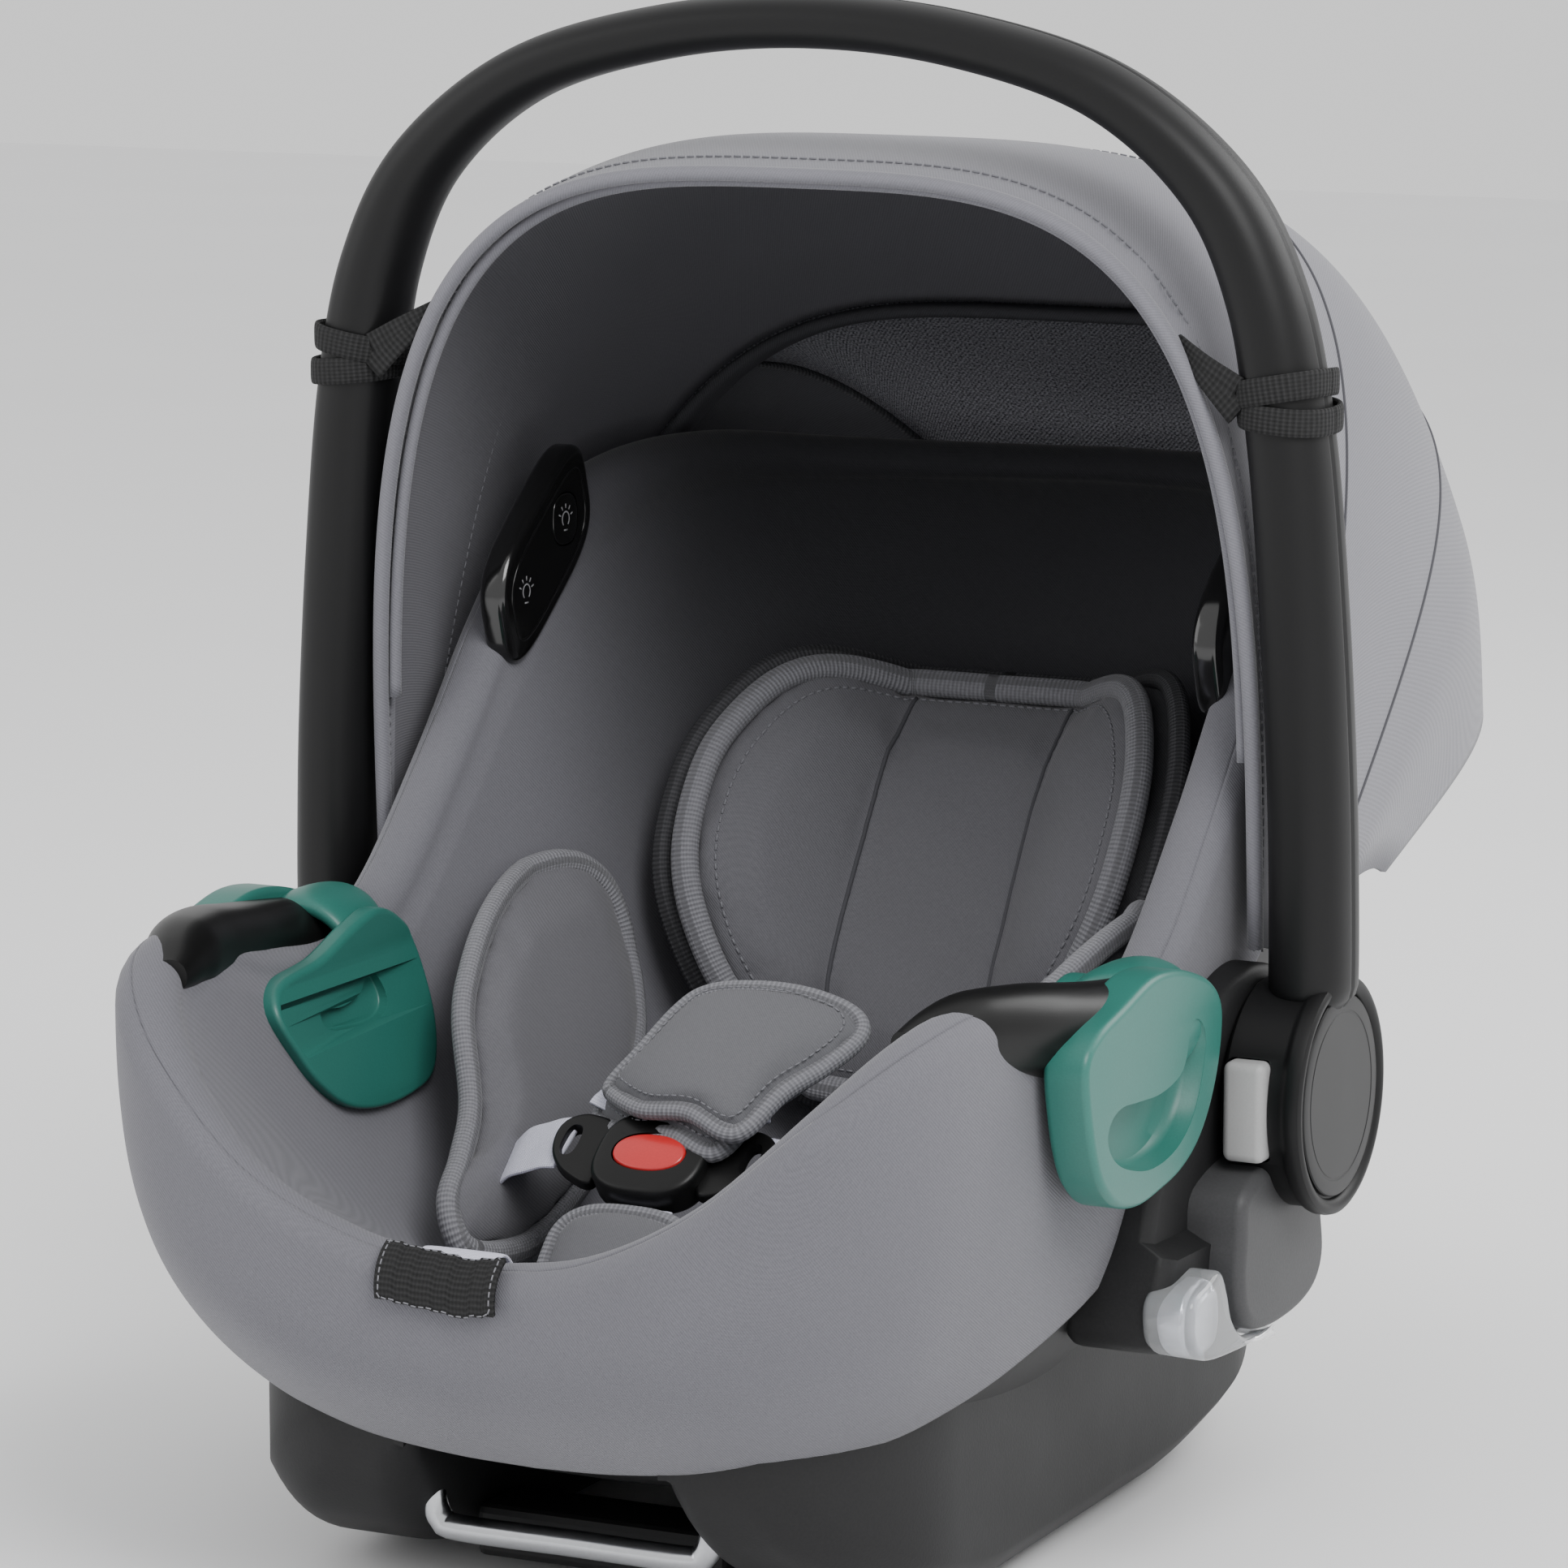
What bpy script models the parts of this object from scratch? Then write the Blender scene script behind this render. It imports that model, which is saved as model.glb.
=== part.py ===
"""Infant car seat with carrying handle, canopy, belt hooks and five-point harness."""
import math

import bmesh
import bpy
import numpy as np
from mathutils import Vector
from mathutils.bvhtree import BVHTree

for old in list(bpy.data.objects):
    bpy.data.objects.remove(old, do_unlink=True)

# ---- driving dimensions, metres; lengths are measured from the handle's pivot axis ----
PIVOT_Y = -0.0343          # pivot axis in the object frame
PIVOT_Z = 0.175
GAP = 0.0004               # clearance between touching pieces
EASE = 0.0012              # clearance between layers of the seat
SKIN = 0.003               # fabric thickness
LIP = 0.012                # half width of the padded rim
WALL = 0.004               # plastic shell wall
FOAM = 0.008               # foam liner thickness
RIM_STEPS = 40             # columns around the seat
HUB_RADIUS = 0.0455
HUB_INNER_X = 0.189
HUB_OUTER_X = 0.222
CAP_RADIUS = 0.0385
BUTTON_HALF_Z = 0.019
BUTTON_TRAVEL = 0.004
BAR_RADIUS = 0.005
HANDLE_TOP_Z = 0.397
CANOPY_FRONT_DEG = -3.0
CANOPY_REAR_DEG = 73.0
GROUND = -PIVOT_Z

# rim of the seat from the middle of the foot end round to the middle of the head end
RIM_X = (0.0, 0.045, 0.088, 0.128, 0.153, 0.162, 0.164, 0.164, 0.164, 0.164, 0.164, 0.164,
         0.161, 0.150, 0.114, 0.058, 0.0)
RIM_Y = (-0.272, -0.276, -0.280, -0.270, -0.243, -0.205, -0.150, -0.095, -0.050, 0.0, 0.045,
         0.090, 0.148, 0.214, 0.264, 0.292, 0.300)
RIM_Z = (-0.040, -0.032, -0.010, 0.026, 0.050, 0.056, 0.040, 0.034, 0.052, 0.098, 0.146, 0.180,
         0.196, 0.198, 0.192, 0.190, 0.190)

# middle line of the seating surface and of the shell's underside
SEAT_Y = (-0.30, -0.262, -0.20, -0.13, -0.075, 0.0, 0.066, 0.112, 0.147, 0.229, 0.268, 0.288,
          0.32)
SEAT_Z = (-0.046, -0.050, -0.072, -0.088, -0.0905, -0.092, -0.088, -0.072, -0.027, 0.085, 0.144,
          0.176, 0.190)
BASE_Y = (-0.30, -0.22, -0.15, -0.05, 0.06, 0.14, 0.22, 0.29, 0.35)
BASE_Z = (-0.085, -0.122, -0.143, -0.150, -0.146, -0.122, -0.070, 0.010, 0.090)


def smooth_line(stations, values, at):
    """Smooth curve through the given values (monotone cubic)."""
    stations = np.asarray(stations, float)
    values = np.asarray(values, float)
    step = np.diff(stations)
    slope = np.diff(values) / step
    tangent = np.zeros(len(values))
    tangent[0] = slope[0]
    tangent[-1] = slope[-1]
    for k in range(1, len(values) - 1):
        if slope[k - 1] * slope[k] > 0.0:
            tangent[k] = 2.0 * slope[k - 1] * slope[k] / (slope[k - 1] + slope[k])
    at = np.clip(np.asarray(at, float), stations[0], stations[-1])
    cell = np.clip(np.searchsorted(stations, at, side="right") - 1, 0, len(step) - 1)
    u = (at - stations[cell]) / step[cell]
    h = step[cell]
    first = values[cell] * (1 + 2 * u) * (1 - u) ** 2 + tangent[cell] * h * u * (1 - u) ** 2
    second = values[cell + 1] * u * u * (3 - 2 * u) + tangent[cell + 1] * h * u * u * (u - 1)
    return first + second


def spline(points, count):
    """Evenly spaced points on a smooth curve through the given points."""
    points = np.asarray(points, float)
    chord = np.linalg.norm(np.diff(points, axis=0), axis=1)
    along = np.concatenate([[0.0], np.cumsum(np.sqrt(chord))])
    fine = np.linspace(0.0, along[-1], 400)
    ghost = np.vstack([2 * points[0] - points[1], points, 2 * points[-1] - points[-2]])
    curve = []
    for value in fine:
        k = min(np.searchsorted(along, value, side="right") - 1, len(points) - 2)
        u = (value - along[k]) / (along[k + 1] - along[k])
        p0, p1, p2, p3 = ghost[k:k + 4]
        a = 2 * p1
        b = (p2 - p0) * u
        c = (2 * p0 - 5 * p1 + 4 * p2 - p3) * u * u
        d = (3 * p1 - p0 - 3 * p2 + p3) * u ** 3
        curve.append(0.5 * (a + b + c + d))
    curve = np.array(curve)
    length = np.concatenate([[0.0], np.cumsum(np.linalg.norm(np.diff(curve, axis=0), axis=1))])
    wanted = np.linspace(0.0, length[-1], count)
    return np.stack([np.interp(wanted, length, curve[:, k]) for k in range(3)], axis=1)


def material(name, color, roughness, metallic=0.0, alpha=1.0):
    """Plain coloured material."""
    mat = bpy.data.materials.new(name)
    mat.use_nodes = True
    shader = mat.node_tree.nodes["Principled BSDF"]
    shader.inputs["Base Color"].default_value = (*color, 1.0)
    shader.inputs["Roughness"].default_value = roughness
    shader.inputs["Metallic"].default_value = metallic
    shader.inputs["Alpha"].default_value = alpha
    mat.diffuse_color = (*color, 1.0)
    return mat


def add_object(name, verts, faces, mat, origin=(0.0, 0.0, 0.0)):
    """Closed mesh object; verts are given from the pivot axis, origin likewise."""
    shift = Vector((0.0, PIVOT_Y, PIVOT_Z))
    origin = Vector(origin)
    mesh = bpy.data.meshes.new(name)
    mesh.from_pydata([tuple(Vector(v) - origin) for v in verts], [], faces)
    work = bmesh.new()
    work.from_mesh(mesh)
    bmesh.ops.remove_doubles(work, verts=work.verts, dist=1e-6)
    bmesh.ops.recalc_face_normals(work, faces=work.faces)
    work.to_mesh(mesh)
    work.free()
    mesh.materials.append(mat)
    obj = bpy.data.objects.new(name, mesh)
    obj.location = origin + shift
    bpy.context.scene.collection.objects.link(obj)
    return obj


def ring_faces(rows, columns, wrap, first=0):
    """Quads between successive rows of columns."""
    faces = []
    for r in range(rows - 1):
        for c in range(columns if wrap else columns - 1):
            d = (c + 1) % columns
            low = first + r * columns
            faces.append((low + c, low + d, low + columns + d, low + columns + c))
    return faces


def loft(name, rings, mat, origin=(0.0, 0.0, 0.0)):
    """Solid skinned through rings of points, with flat ends."""
    rings = np.asarray(rings, float)
    rows, columns = rings.shape[:2]
    faces = ring_faces(rows, columns, True)
    faces.append(tuple(range(columns)))
    faces.append(tuple(range((rows - 1) * columns, rows * columns)))
    return add_object(name, rings.reshape(-1, 3), faces, mat, origin)


def torus_loft(name, rings, mat, origin=(0.0, 0.0, 0.0)):
    """Solid skinned through rings whose last ring joins the first."""
    rings = np.asarray(rings, float)
    rows, columns = rings.shape[:2]
    closed = np.concatenate([rings, rings[:1]])
    faces = ring_faces(rows + 1, columns, True)
    count = rows * columns
    faces = [tuple(v % count for v in f) for f in faces]
    return add_object(name, closed[:-1].reshape(-1, 3), faces, mat, origin)


def sheet_solid(name, top, under, mat, wrap=False, origin=(0.0, 0.0, 0.0)):
    """Solid between two grids of points of the same size."""
    top = np.asarray(top, float)
    under = np.asarray(under, float)
    rows, columns = top.shape[:2]
    count = rows * columns
    faces = ring_faces(rows, columns, wrap)
    faces += [tuple(reversed(f)) for f in ring_faces(rows, columns, wrap, count)]
    border = []
    last = (rows - 1) * columns
    for c in range(columns if wrap else columns - 1):
        d = (c + 1) % columns
        border.append((c, d))
        border.append((last + d, last + c))
    if not wrap:
        for r in range(rows - 1):
            border.append(((r + 1) * columns, r * columns))
            border.append((r * columns + columns - 1, (r + 1) * columns + columns - 1))
    faces += [(a, b, b + count, a + count) for a, b in border]
    verts = np.concatenate([top.reshape(-1, 3), under.reshape(-1, 3)])
    return add_object(name, verts, faces, mat, origin)


def section(half_a, half_b, count=24, power=2.4):
    """Rounded section: pairs of offsets along two axes."""
    angle = np.linspace(0.0, 2 * math.pi, count, endpoint=False)
    a = half_a * np.sign(np.cos(angle)) * np.abs(np.cos(angle)) ** (2 / power)
    b = half_b * np.sign(np.sin(angle)) * np.abs(np.sin(angle)) ** (2 / power)
    return np.stack([a, b], axis=1)


def sweep(path, side, half_side, half_up, count=16, power=2.4, pinch=None):
    """Rings of a rounded section carried along a path; side is the section's first axis."""
    path = np.asarray(path, float)
    ahead = np.gradient(path, axis=0)
    ahead /= np.linalg.norm(ahead, axis=1, keepdims=True)
    side = np.broadcast_to(np.asarray(side, float), path.shape)
    across = side - ahead * np.sum(side * ahead, axis=1, keepdims=True)
    across /= np.linalg.norm(across, axis=1, keepdims=True)
    up = np.cross(ahead, across)
    half_side = np.broadcast_to(half_side, len(path))
    half_up = np.broadcast_to(half_up, len(path))
    rings = []
    for k in range(len(path)):
        scale = 1.0 if pinch is None else pinch[k]
        s = section(half_side[k] * scale, half_up[k] * scale, count, power)
        rings.append(path[k] + s[:, :1] * across[k] + s[:, 1:] * up[k])
    return np.array(rings)


def round_ends(count, reach, length):
    """Scale factors that round off the ends of a sweep."""
    place = np.linspace(0.0, length, count)
    near = np.minimum(place, length - place)
    u = np.clip(1.0 - near / reach, 0.0, 1.0)
    return np.sqrt(np.maximum(1.0 - u * u, 0.0)) * 0.75 + 0.25


def cylinder(name, start, end, radius, mat, count=16, edge=0.0008, origin=(0.0, 0.0, 0.0)):
    """Round bar with small chamfers between two points."""
    start = np.asarray(start, float)
    end = np.asarray(end, float)
    axis = (end - start) / np.linalg.norm(end - start)
    helper = np.array([0.0, 0.0, 1.0]) if abs(axis[2]) < 0.9 else np.array([0.0, 1.0, 0.0])
    a = np.cross(axis, helper)
    a /= np.linalg.norm(a)
    b = np.cross(axis, a)
    angle = np.linspace(0.0, 2 * math.pi, count, endpoint=False)[:, None]
    rings = []
    stops = ((start, radius - edge), (start + axis * edge, radius),
             (end - axis * edge, radius), (end, radius - edge))
    for centre, r in stops:
        rings.append(centre + r * (np.cos(angle) * a + np.sin(angle) * b))
    return loft(name, rings, mat, origin)


def rounded_box(name, low, high, radius, mat, origin=(0.0, 0.0, 0.0), steps=2):
    """Box with rounded edges."""
    low = np.asarray(low, float)
    high = np.asarray(high, float)
    mesh = bpy.data.meshes.new(name)
    work = bmesh.new()
    bmesh.ops.create_cube(work, size=1.0)
    centre = (low + high) / 2
    for v in work.verts:
        v.co = Vector(centre + np.array(v.co) * (high - low))
    bmesh.ops.bevel(work, geom=work.edges[:], offset=radius, segments=steps, profile=0.5,
                    affect="EDGES")
    work.to_mesh(mesh)
    work.free()
    verts = [tuple(v.co) for v in mesh.vertices]
    faces = [tuple(p.vertices) for p in mesh.polygons]
    bpy.data.meshes.remove(mesh)
    return add_object(name, verts, faces, mat, origin)


def prism_x(name, outline, x_low, x_high, mat, edge=0.001, origin=(0.0, 0.0, 0.0)):
    """Outline in Y and Z given a thickness along X, with eased edges."""
    mesh = bpy.data.meshes.new(name)
    work = bmesh.new()
    low = [work.verts.new((x_low, y, z)) for y, z in outline]
    high = [work.verts.new((x_high, y, z)) for y, z in outline]
    count = len(outline)
    first = work.faces.new(low)
    second = work.faces.new(list(reversed(high)))
    for k in range(count):
        m = (k + 1) % count
        work.faces.new((low[m], low[k], high[k], high[m]))
    rims = [e for e in first.edges] + [e for e in second.edges]
    if edge > 0.0:
        bmesh.ops.bevel(work, geom=rims, offset=edge, segments=2, profile=0.5, affect="EDGES")
    work.to_mesh(mesh)
    work.free()
    verts = [tuple(v.co) for v in mesh.vertices]
    faces = [tuple(p.vertices) for p in mesh.polygons]
    bpy.data.meshes.remove(mesh)
    return add_object(name, verts, faces, mat, origin)


def cut(target, cutter):
    """Take the cutter's volume out of the target."""
    combine(target, cutter, "DIFFERENCE")


def combine(target, tool, operation):
    """Exact boolean, applied."""
    mod = target.modifiers.new("shape", "BOOLEAN")
    mod.operation = operation
    mod.solver = "EXACT"
    mod.object = tool
    graph = bpy.context.evaluated_depsgraph_get()
    mesh = bpy.data.meshes.new_from_object(target.evaluated_get(graph))
    target.modifiers.clear()
    old = target.data
    name = old.name
    target.data = mesh
    bpy.data.meshes.remove(old)
    mesh.name = name
    while len(mesh.materials) > 1:
        mesh.materials.pop()
    for p in mesh.polygons:
        p.material_index = 0
    bpy.data.objects.remove(tool, do_unlink=True)


def keep_largest(obj):
    """Drop slivers that a cut leaves behind."""
    work = bmesh.new()
    work.from_mesh(obj.data)
    unseen = set(work.verts)
    islands = []
    while unseen:
        stack = [unseen.pop()]
        island = set(stack)
        while stack:
            vert = stack.pop()
            for edge in vert.link_edges:
                other = edge.other_vert(vert)
                if other in unseen:
                    unseen.discard(other)
                    island.add(other)
                    stack.append(other)
        islands.append(island)
    islands.sort(key=len, reverse=True)
    for island in islands[1:]:
        bmesh.ops.delete(work, geom=list(island), context="VERTS")
    work.to_mesh(obj.data)
    work.free()


# ---- shared seat surfaces ----

def rim_curve():
    """Closed rim line, foot middle first, right side, head middle, left side back."""
    half = spline(np.stack([RIM_X, RIM_Y, RIM_Z], axis=1), RIM_STEPS // 2 + 1)
    half[0, 0] = 0.0
    half[-1, 0] = 0.0
    left = half[1:-1][::-1] * np.array([-1.0, 1.0, 1.0])
    return np.concatenate([half, left])


RIM = rim_curve()


def rim_outward():
    """Unit directions square to the rim, seen from above, pointing away from the seat."""
    along = np.roll(RIM, -1, axis=0) - np.roll(RIM, 1, axis=0)
    out = np.stack([-along[:, 1], along[:, 0], np.zeros(len(along))], axis=1) * -1.0
    out /= np.linalg.norm(out, axis=1, keepdims=True)
    return out


RIM_OUT = rim_outward()
MIDDLE_Y = -0.03


def inner_row(offset, reach, power=3.6):
    """Row of points on the seating surface; reach 1 is at the rim, 0 on the middle line."""
    base = RIM - RIM_OUT * (LIP - offset)
    row = base.copy()
    row[:, 0] = base[:, 0] * reach
    row[:, 1] = MIDDLE_Y + (base[:, 1] - MIDDLE_Y) * reach
    floor = smooth_line(SEAT_Y, SEAT_Z, row[:, 1])
    edge = np.maximum(base[:, 2] - floor, 0.0)
    row[:, 2] = floor + edge * reach ** power
    return row


def inner_grid(offset, reaches):
    """Seating surface sunk by offset along its normal."""
    rows = []
    for reach in reaches:
        row = inner_row(0.0, reach)
        down = inner_row(0.0, reach + 0.004) - inner_row(0.0, reach - 0.004)
        across = np.roll(row, -1, axis=0) - np.roll(row, 1, axis=0)
        normal = np.cross(across, down)
        normal /= np.maximum(np.linalg.norm(normal, axis=1, keepdims=True), 1e-9)
        normal *= np.where(normal[:, 2:3] < 0.0, -1.0, 1.0)
        rows.append(row - normal * offset)
    return np.array(rows)


def outer_row(offset, reach, power=2.6):
    """Row of points on the outside of the shell; reach 1 is at the rim, 0 underneath."""
    base = RIM + RIM_OUT * (LIP - offset)
    row = base.copy()
    head = np.clip((base[:, 1] - 0.10) / 0.2, 0.0, 1.0)
    swell = 1.0 + 0.20 * head * 4.0 * reach ** 2 * (1.0 - reach ** 2)
    row[:, 0] = base[:, 0] * reach
    row[:, 1] = MIDDLE_Y + (base[:, 1] - MIDDLE_Y) * reach * swell
    floor = smooth_line(BASE_Y, BASE_Z, row[:, 1]) + offset
    drop = (1.0 - reach ** power) ** (1.0 / power)
    row[:, 2] = base[:, 2] + (np.minimum(floor, base[:, 2]) - base[:, 2]) * drop
    return row


def lip_rows(offset, start_deg, end_deg, count):
    """Rounded rim; 180 is the inner side, 0 the outer side."""
    rows = []
    for deg in np.linspace(start_deg, end_deg, count):
        angle = math.radians(deg)
        row = RIM + RIM_OUT * (LIP - offset) * math.cos(angle)
        row = row + np.array([0.0, 0.0, 1.0]) * (LIP - offset) * math.sin(angle)
        rows.append(row)
    return np.array(rows)


def hem_reach():
    """How far down the outside the skirt comes, for each column of the rim."""
    y = RIM[:, 1]
    return smooth_line((-0.30, -0.24, -0.15, -0.09, -0.03, 0.05, 0.30),
                       (0.800, 0.840, 0.915, 0.945, 0.972, 0.975, 0.975), y)


# ---- materials ----
FABRIC = material("fabric_grey", (0.36, 0.36, 0.39), 0.9)
BINDING = material("binding_dark_grey", (0.16, 0.16, 0.18), 0.9)
LINING = material("lining_grey", (0.24, 0.24, 0.26), 0.9)
FOAM_MAT = material("foam_white", (0.85, 0.85, 0.84), 0.9)
SHELL_MAT = material("shell_charcoal", (0.045, 0.046, 0.048), 0.55)
BRACKET_MAT = material("bracket_charcoal", (0.10, 0.10, 0.105), 0.5)
HANDLE_MAT = material("handle_black", (0.016, 0.016, 0.017), 0.45)
GUIDE_MAT = material("belt_hook_green", (0.03, 0.16, 0.13), 0.4)
BUTTON_MAT = material("button_light_grey", (0.42, 0.42, 0.42), 0.45)
LENS_MAT = material("lens_clear", (0.9, 0.92, 0.94), 0.08, 0.0, 0.4)
STEEL_MAT = material("steel_bar", (0.62, 0.63, 0.65), 0.25, 1.0)
STRAP_MAT = material("webbing_pale", (0.72, 0.72, 0.82), 0.8)
BLACK_MAT = material("plastic_black", (0.012, 0.012, 0.013), 0.3)
RED_MAT = material("button_red", (0.55, 0.03, 0.03), 0.35)
ELASTIC_MAT = material("elastic_black", (0.01, 0.01, 0.01), 0.9)
MESH_MAT = material("mesh_grey", (0.12, 0.12, 0.13), 0.9)


def own(mat, name):
    """A copy of a material for one object."""
    mine = mat.copy()
    mine.name = "mat_" + name
    return mine


# ---- shell, liner and cover ----
SEAT_REACH = np.clip(np.linspace(0.0, 1.0, 11) ** 0.8, 0.04, 0.985)


def make_shell():
    inset = SKIN + EASE
    turns = np.linspace(0.0, 0.5 * math.pi, 14)[1:-1]
    reaches = np.cos(turns) ** (2 / 2.6)
    outer = [outer_row(inset, r) for r in reaches]
    rim_top = lip_rows(inset, 100.0, 0.0, 4)
    inner_rim = lip_rows(inset + WALL, 0.0, 100.0, 3)
    inner = [outer_row(inset + WALL, min(r, 0.985)) for r in reaches]
    rows = inner[::-1] + list(inner_rim) + list(rim_top) + outer
    rows = np.array(rows)
    count = rows.shape[1]
    verts = list(rows.reshape(-1, 3))
    faces = ring_faces(len(rows), count, True)
    faces.append(tuple(range(count)))
    faces.append(tuple(range((len(rows) - 1) * count, len(rows) * count)))
    return add_object("seat_shell", verts, faces, own(SHELL_MAT, "seat_shell"))


def make_liner():
    reaches = SEAT_REACH[:-2]
    sunk = SKIN + 3.0 * EASE
    top = inner_grid(sunk, reaches)
    under = inner_grid(sunk + FOAM, reaches)
    return closed_bowl("foam_liner", top, under, own(FOAM_MAT, "foam_liner"))


def closed_bowl(name, top, under, mat, origin=(0.0, 0.0, 0.0)):
    """Bowl wall between two grids, closed in the middle and at the rim."""
    rows, columns = top.shape[:2]
    count = rows * columns
    faces = ring_faces(rows, columns, True)
    faces += [tuple(reversed(f)) for f in ring_faces(rows, columns, True, count)]
    faces.append(tuple(range(columns)))
    faces.append(tuple(count + c for c in reversed(range(columns))))
    last = (rows - 1) * columns
    for c in range(columns):
        d = (c + 1) % columns
        faces.append((last + d, last + c, count + last + c, count + last + d))
    verts = np.concatenate([top.reshape(-1, 3), under.reshape(-1, 3)])
    return add_object(name, verts, faces, mat, origin)


def make_cover():
    reaches = SEAT_REACH
    top = np.concatenate([inner_grid(0.0, reaches), lip_rows(0.0, 172.0, 62.0, 5)])
    under = np.concatenate([inner_grid(SKIN, reaches), lip_rows(SKIN, 172.0, 62.0, 5)])
    return closed_bowl("seat_cover", top, under, own(FABRIC, "seat_cover"))


def make_apron():
    hem = hem_reach()
    top = list(lip_rows(0.0, 60.0, 6.0, 3))
    under = list(lip_rows(SKIN, 60.0, 6.0, 3))
    for part in np.linspace(0.0, 1.0, 6)[1:]:
        outer = np.empty_like(RIM)
        inner = np.empty_like(RIM)
        for c in range(len(RIM)):
            turn = math.acos(hem[c] ** 1.3) * part
            reach = math.cos(turn) ** (2 / 2.6)
            outer[c] = outer_row(0.0, reach)[c]
            inner[c] = outer_row(SKIN, reach)[c]
        top.append(outer)
        under.append(inner)
    return sheet_solid("front_apron", top, under, own(FABRIC, "front_apron"), wrap=True)



# ---- runners and anchor bars under the shell ----
def solid_tree(obj):
    """Ray test structure of an object, from the pivot axis."""
    shift = obj.location - Vector((0.0, PIVOT_Y, PIVOT_Z))
    verts = [v.co + shift for v in obj.data.vertices]
    return BVHTree.FromPolygons(verts, [tuple(p.vertices) for p in obj.data.polygons])


def lowest(trees, x, y):
    """Lowest surface above the ground close to a point."""
    found = []
    for dx, dy in ((0.0, 0.0), (0.006, 0.0), (-0.006, 0.0), (0.0, 0.006), (0.0, -0.006)):
        for tree in trees:
            hit = tree.ray_cast(Vector((x + dx, y + dy, -0.4)), Vector((0.0, 0.0, 1.0)))
            if hit[0]:
                found.append(hit[0].z)
    return min(found)


def make_runner(side, label, trees):
    """Rounded foot whose upper face follows the shell."""
    xs = np.linspace(0.052, 0.136, 7)
    ys = np.linspace(-0.236, 0.170, 24)
    top = np.zeros((len(ys), len(xs), 3))
    under = np.zeros((len(ys), len(xs), 3))
    profile = smooth_line((-0.236, -0.225, -0.206, -0.17, -0.11, 0.04, 0.10, 0.14, 0.170),
                          (-0.113, -0.133, -0.150, -0.166, GROUND, GROUND, -0.168, -0.150, -0.125),
                          ys)
    for i, y in enumerate(ys):
        for j, x in enumerate(xs):
            ceiling = lowest(trees, side * x, y) - EASE
            edge = max(abs(2.0 * (j / (len(xs) - 1)) - 1.0) - 0.34, 0.0) / 0.66
            low = profile[i] + 0.018 * edge ** 2.4
            top[i, j] = (side * x, y, ceiling)
            under[i, j] = (side * x, y, min(low, ceiling - 0.002))
    name = "runner_" + label
    return sheet_solid(name, top, under, own(SHELL_MAT, name))


def make_bars():
    steel = own(STEEL_MAT, "front_anchor_bar")
    cylinder("front_anchor_bar", (-0.0514, -0.203, -0.149), (0.0514, -0.203, -0.149),
             BAR_RADIUS, steel)
    steel = own(STEEL_MAT, "rear_anchor_bar")
    cylinder("rear_anchor_bar", (-0.0514, 0.095, -0.158), (0.0514, 0.095, -0.158),
             BAR_RADIUS, steel)
    rounded_box("bar_crossmember", (-0.0514, -0.182, -0.166), (0.0514, -0.150, -0.146), 0.003,
                own(SHELL_MAT, "bar_crossmember"))


# ---- side brackets, lenses and pivots ----
def circle_points(radius, start_deg, end_deg, count, y=0.0, z=0.0):
    """Points on an arc in the Y-Z plane."""
    angles = np.radians(np.linspace(start_deg, end_deg, count))
    return [(y + radius * math.cos(a), z + radius * math.sin(a)) for a in angles]


def make_bracket(side, label):
    name = "side_bracket_" + label
    plate = [(-0.040, -0.049), (-0.048, -0.060), (-0.030, -0.066), (0.016, -0.066),
             (0.024, -0.049)] + circle_points(0.043, -50.0, 230.0, 15)
    low, high = sorted((side * 0.1835, side * 0.1880))
    body = prism_x(name, plate, low, high, own(BRACKET_MAT, name), 0.0008)
    lobe = [(-0.068, -0.052), (-0.058, -0.0492), (0.020, -0.0492), (0.026, -0.056),
            (0.026, -0.080), (0.018, -0.088), (-0.055, -0.086), (-0.067, -0.082)]
    low, high = sorted((side * 0.1730, side * 0.2060))
    lower = prism_x(name + "_lower", lobe, low, high, own(BRACKET_MAT, name), 0.002)
    nose = [(-0.066, -0.058), (-0.090, -0.063), (-0.102, -0.070), (-0.100, -0.080),
            (-0.066, -0.084)]
    low, high = sorted((side * 0.1730, side * 0.1850))
    front = prism_x(name + "_nose", nose, low, high, own(BRACKET_MAT, name), 0.0015)
    combine(body, lower, "UNION")
    combine(body, front, "UNION")
    lens = [(-0.0688, -0.060), (-0.086, -0.0645), (-0.098, -0.072), (-0.096, -0.0805),
            (-0.0688, -0.0835)]
    low, high = sorted((side * 0.1855, side * 0.2050))
    prism_x("outer_light_lens_" + label, lens, low, high,
            own(LENS_MAT, "outer_light_lens_" + label), 0.0025)
    pin = cylinder("pivot_pin_" + label, (side * 0.1750, 0.0, 0.0), (side * 0.2150, 0.0, 0.0),
                   0.0080, own(STEEL_MAT, "pivot_pin_" + label))
    bore = cylinder("bracket_bore", (side * 0.170, 0.0, 0.0), (side * 0.195, 0.0, 0.0),
                    0.0083, SHELL_MAT)
    cut(body, bore)
    return pin


# ---- carrying handle ----
def handle_path():
    half = [(0.2095, 0.048), (0.2095, 0.062), (0.208, 0.116), (0.204, 0.182), (0.198, 0.246),
            (0.188, 0.298), (0.166, 0.340), (0.122, 0.374), (0.062, 0.3915), (0.0, 0.397)]
    right = [(x, 0.0, z) for x, z in half]
    left = [(-x, 0.0, z) for x, z in half[:-1]][::-1]
    return spline(right + left, 45)


def tube_sizes(path):
    z = path[:, 2]
    side = smooth_line((0.0, 0.24, 0.31, 0.36, 0.40), (0.0158, 0.0155, 0.0140, 0.0118, 0.0103), z)
    deep = smooth_line((0.0, 0.24, 0.31, 0.36, 0.40), (0.0200, 0.0200, 0.0190, 0.0178, 0.0170), z)
    return side, deep


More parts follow.
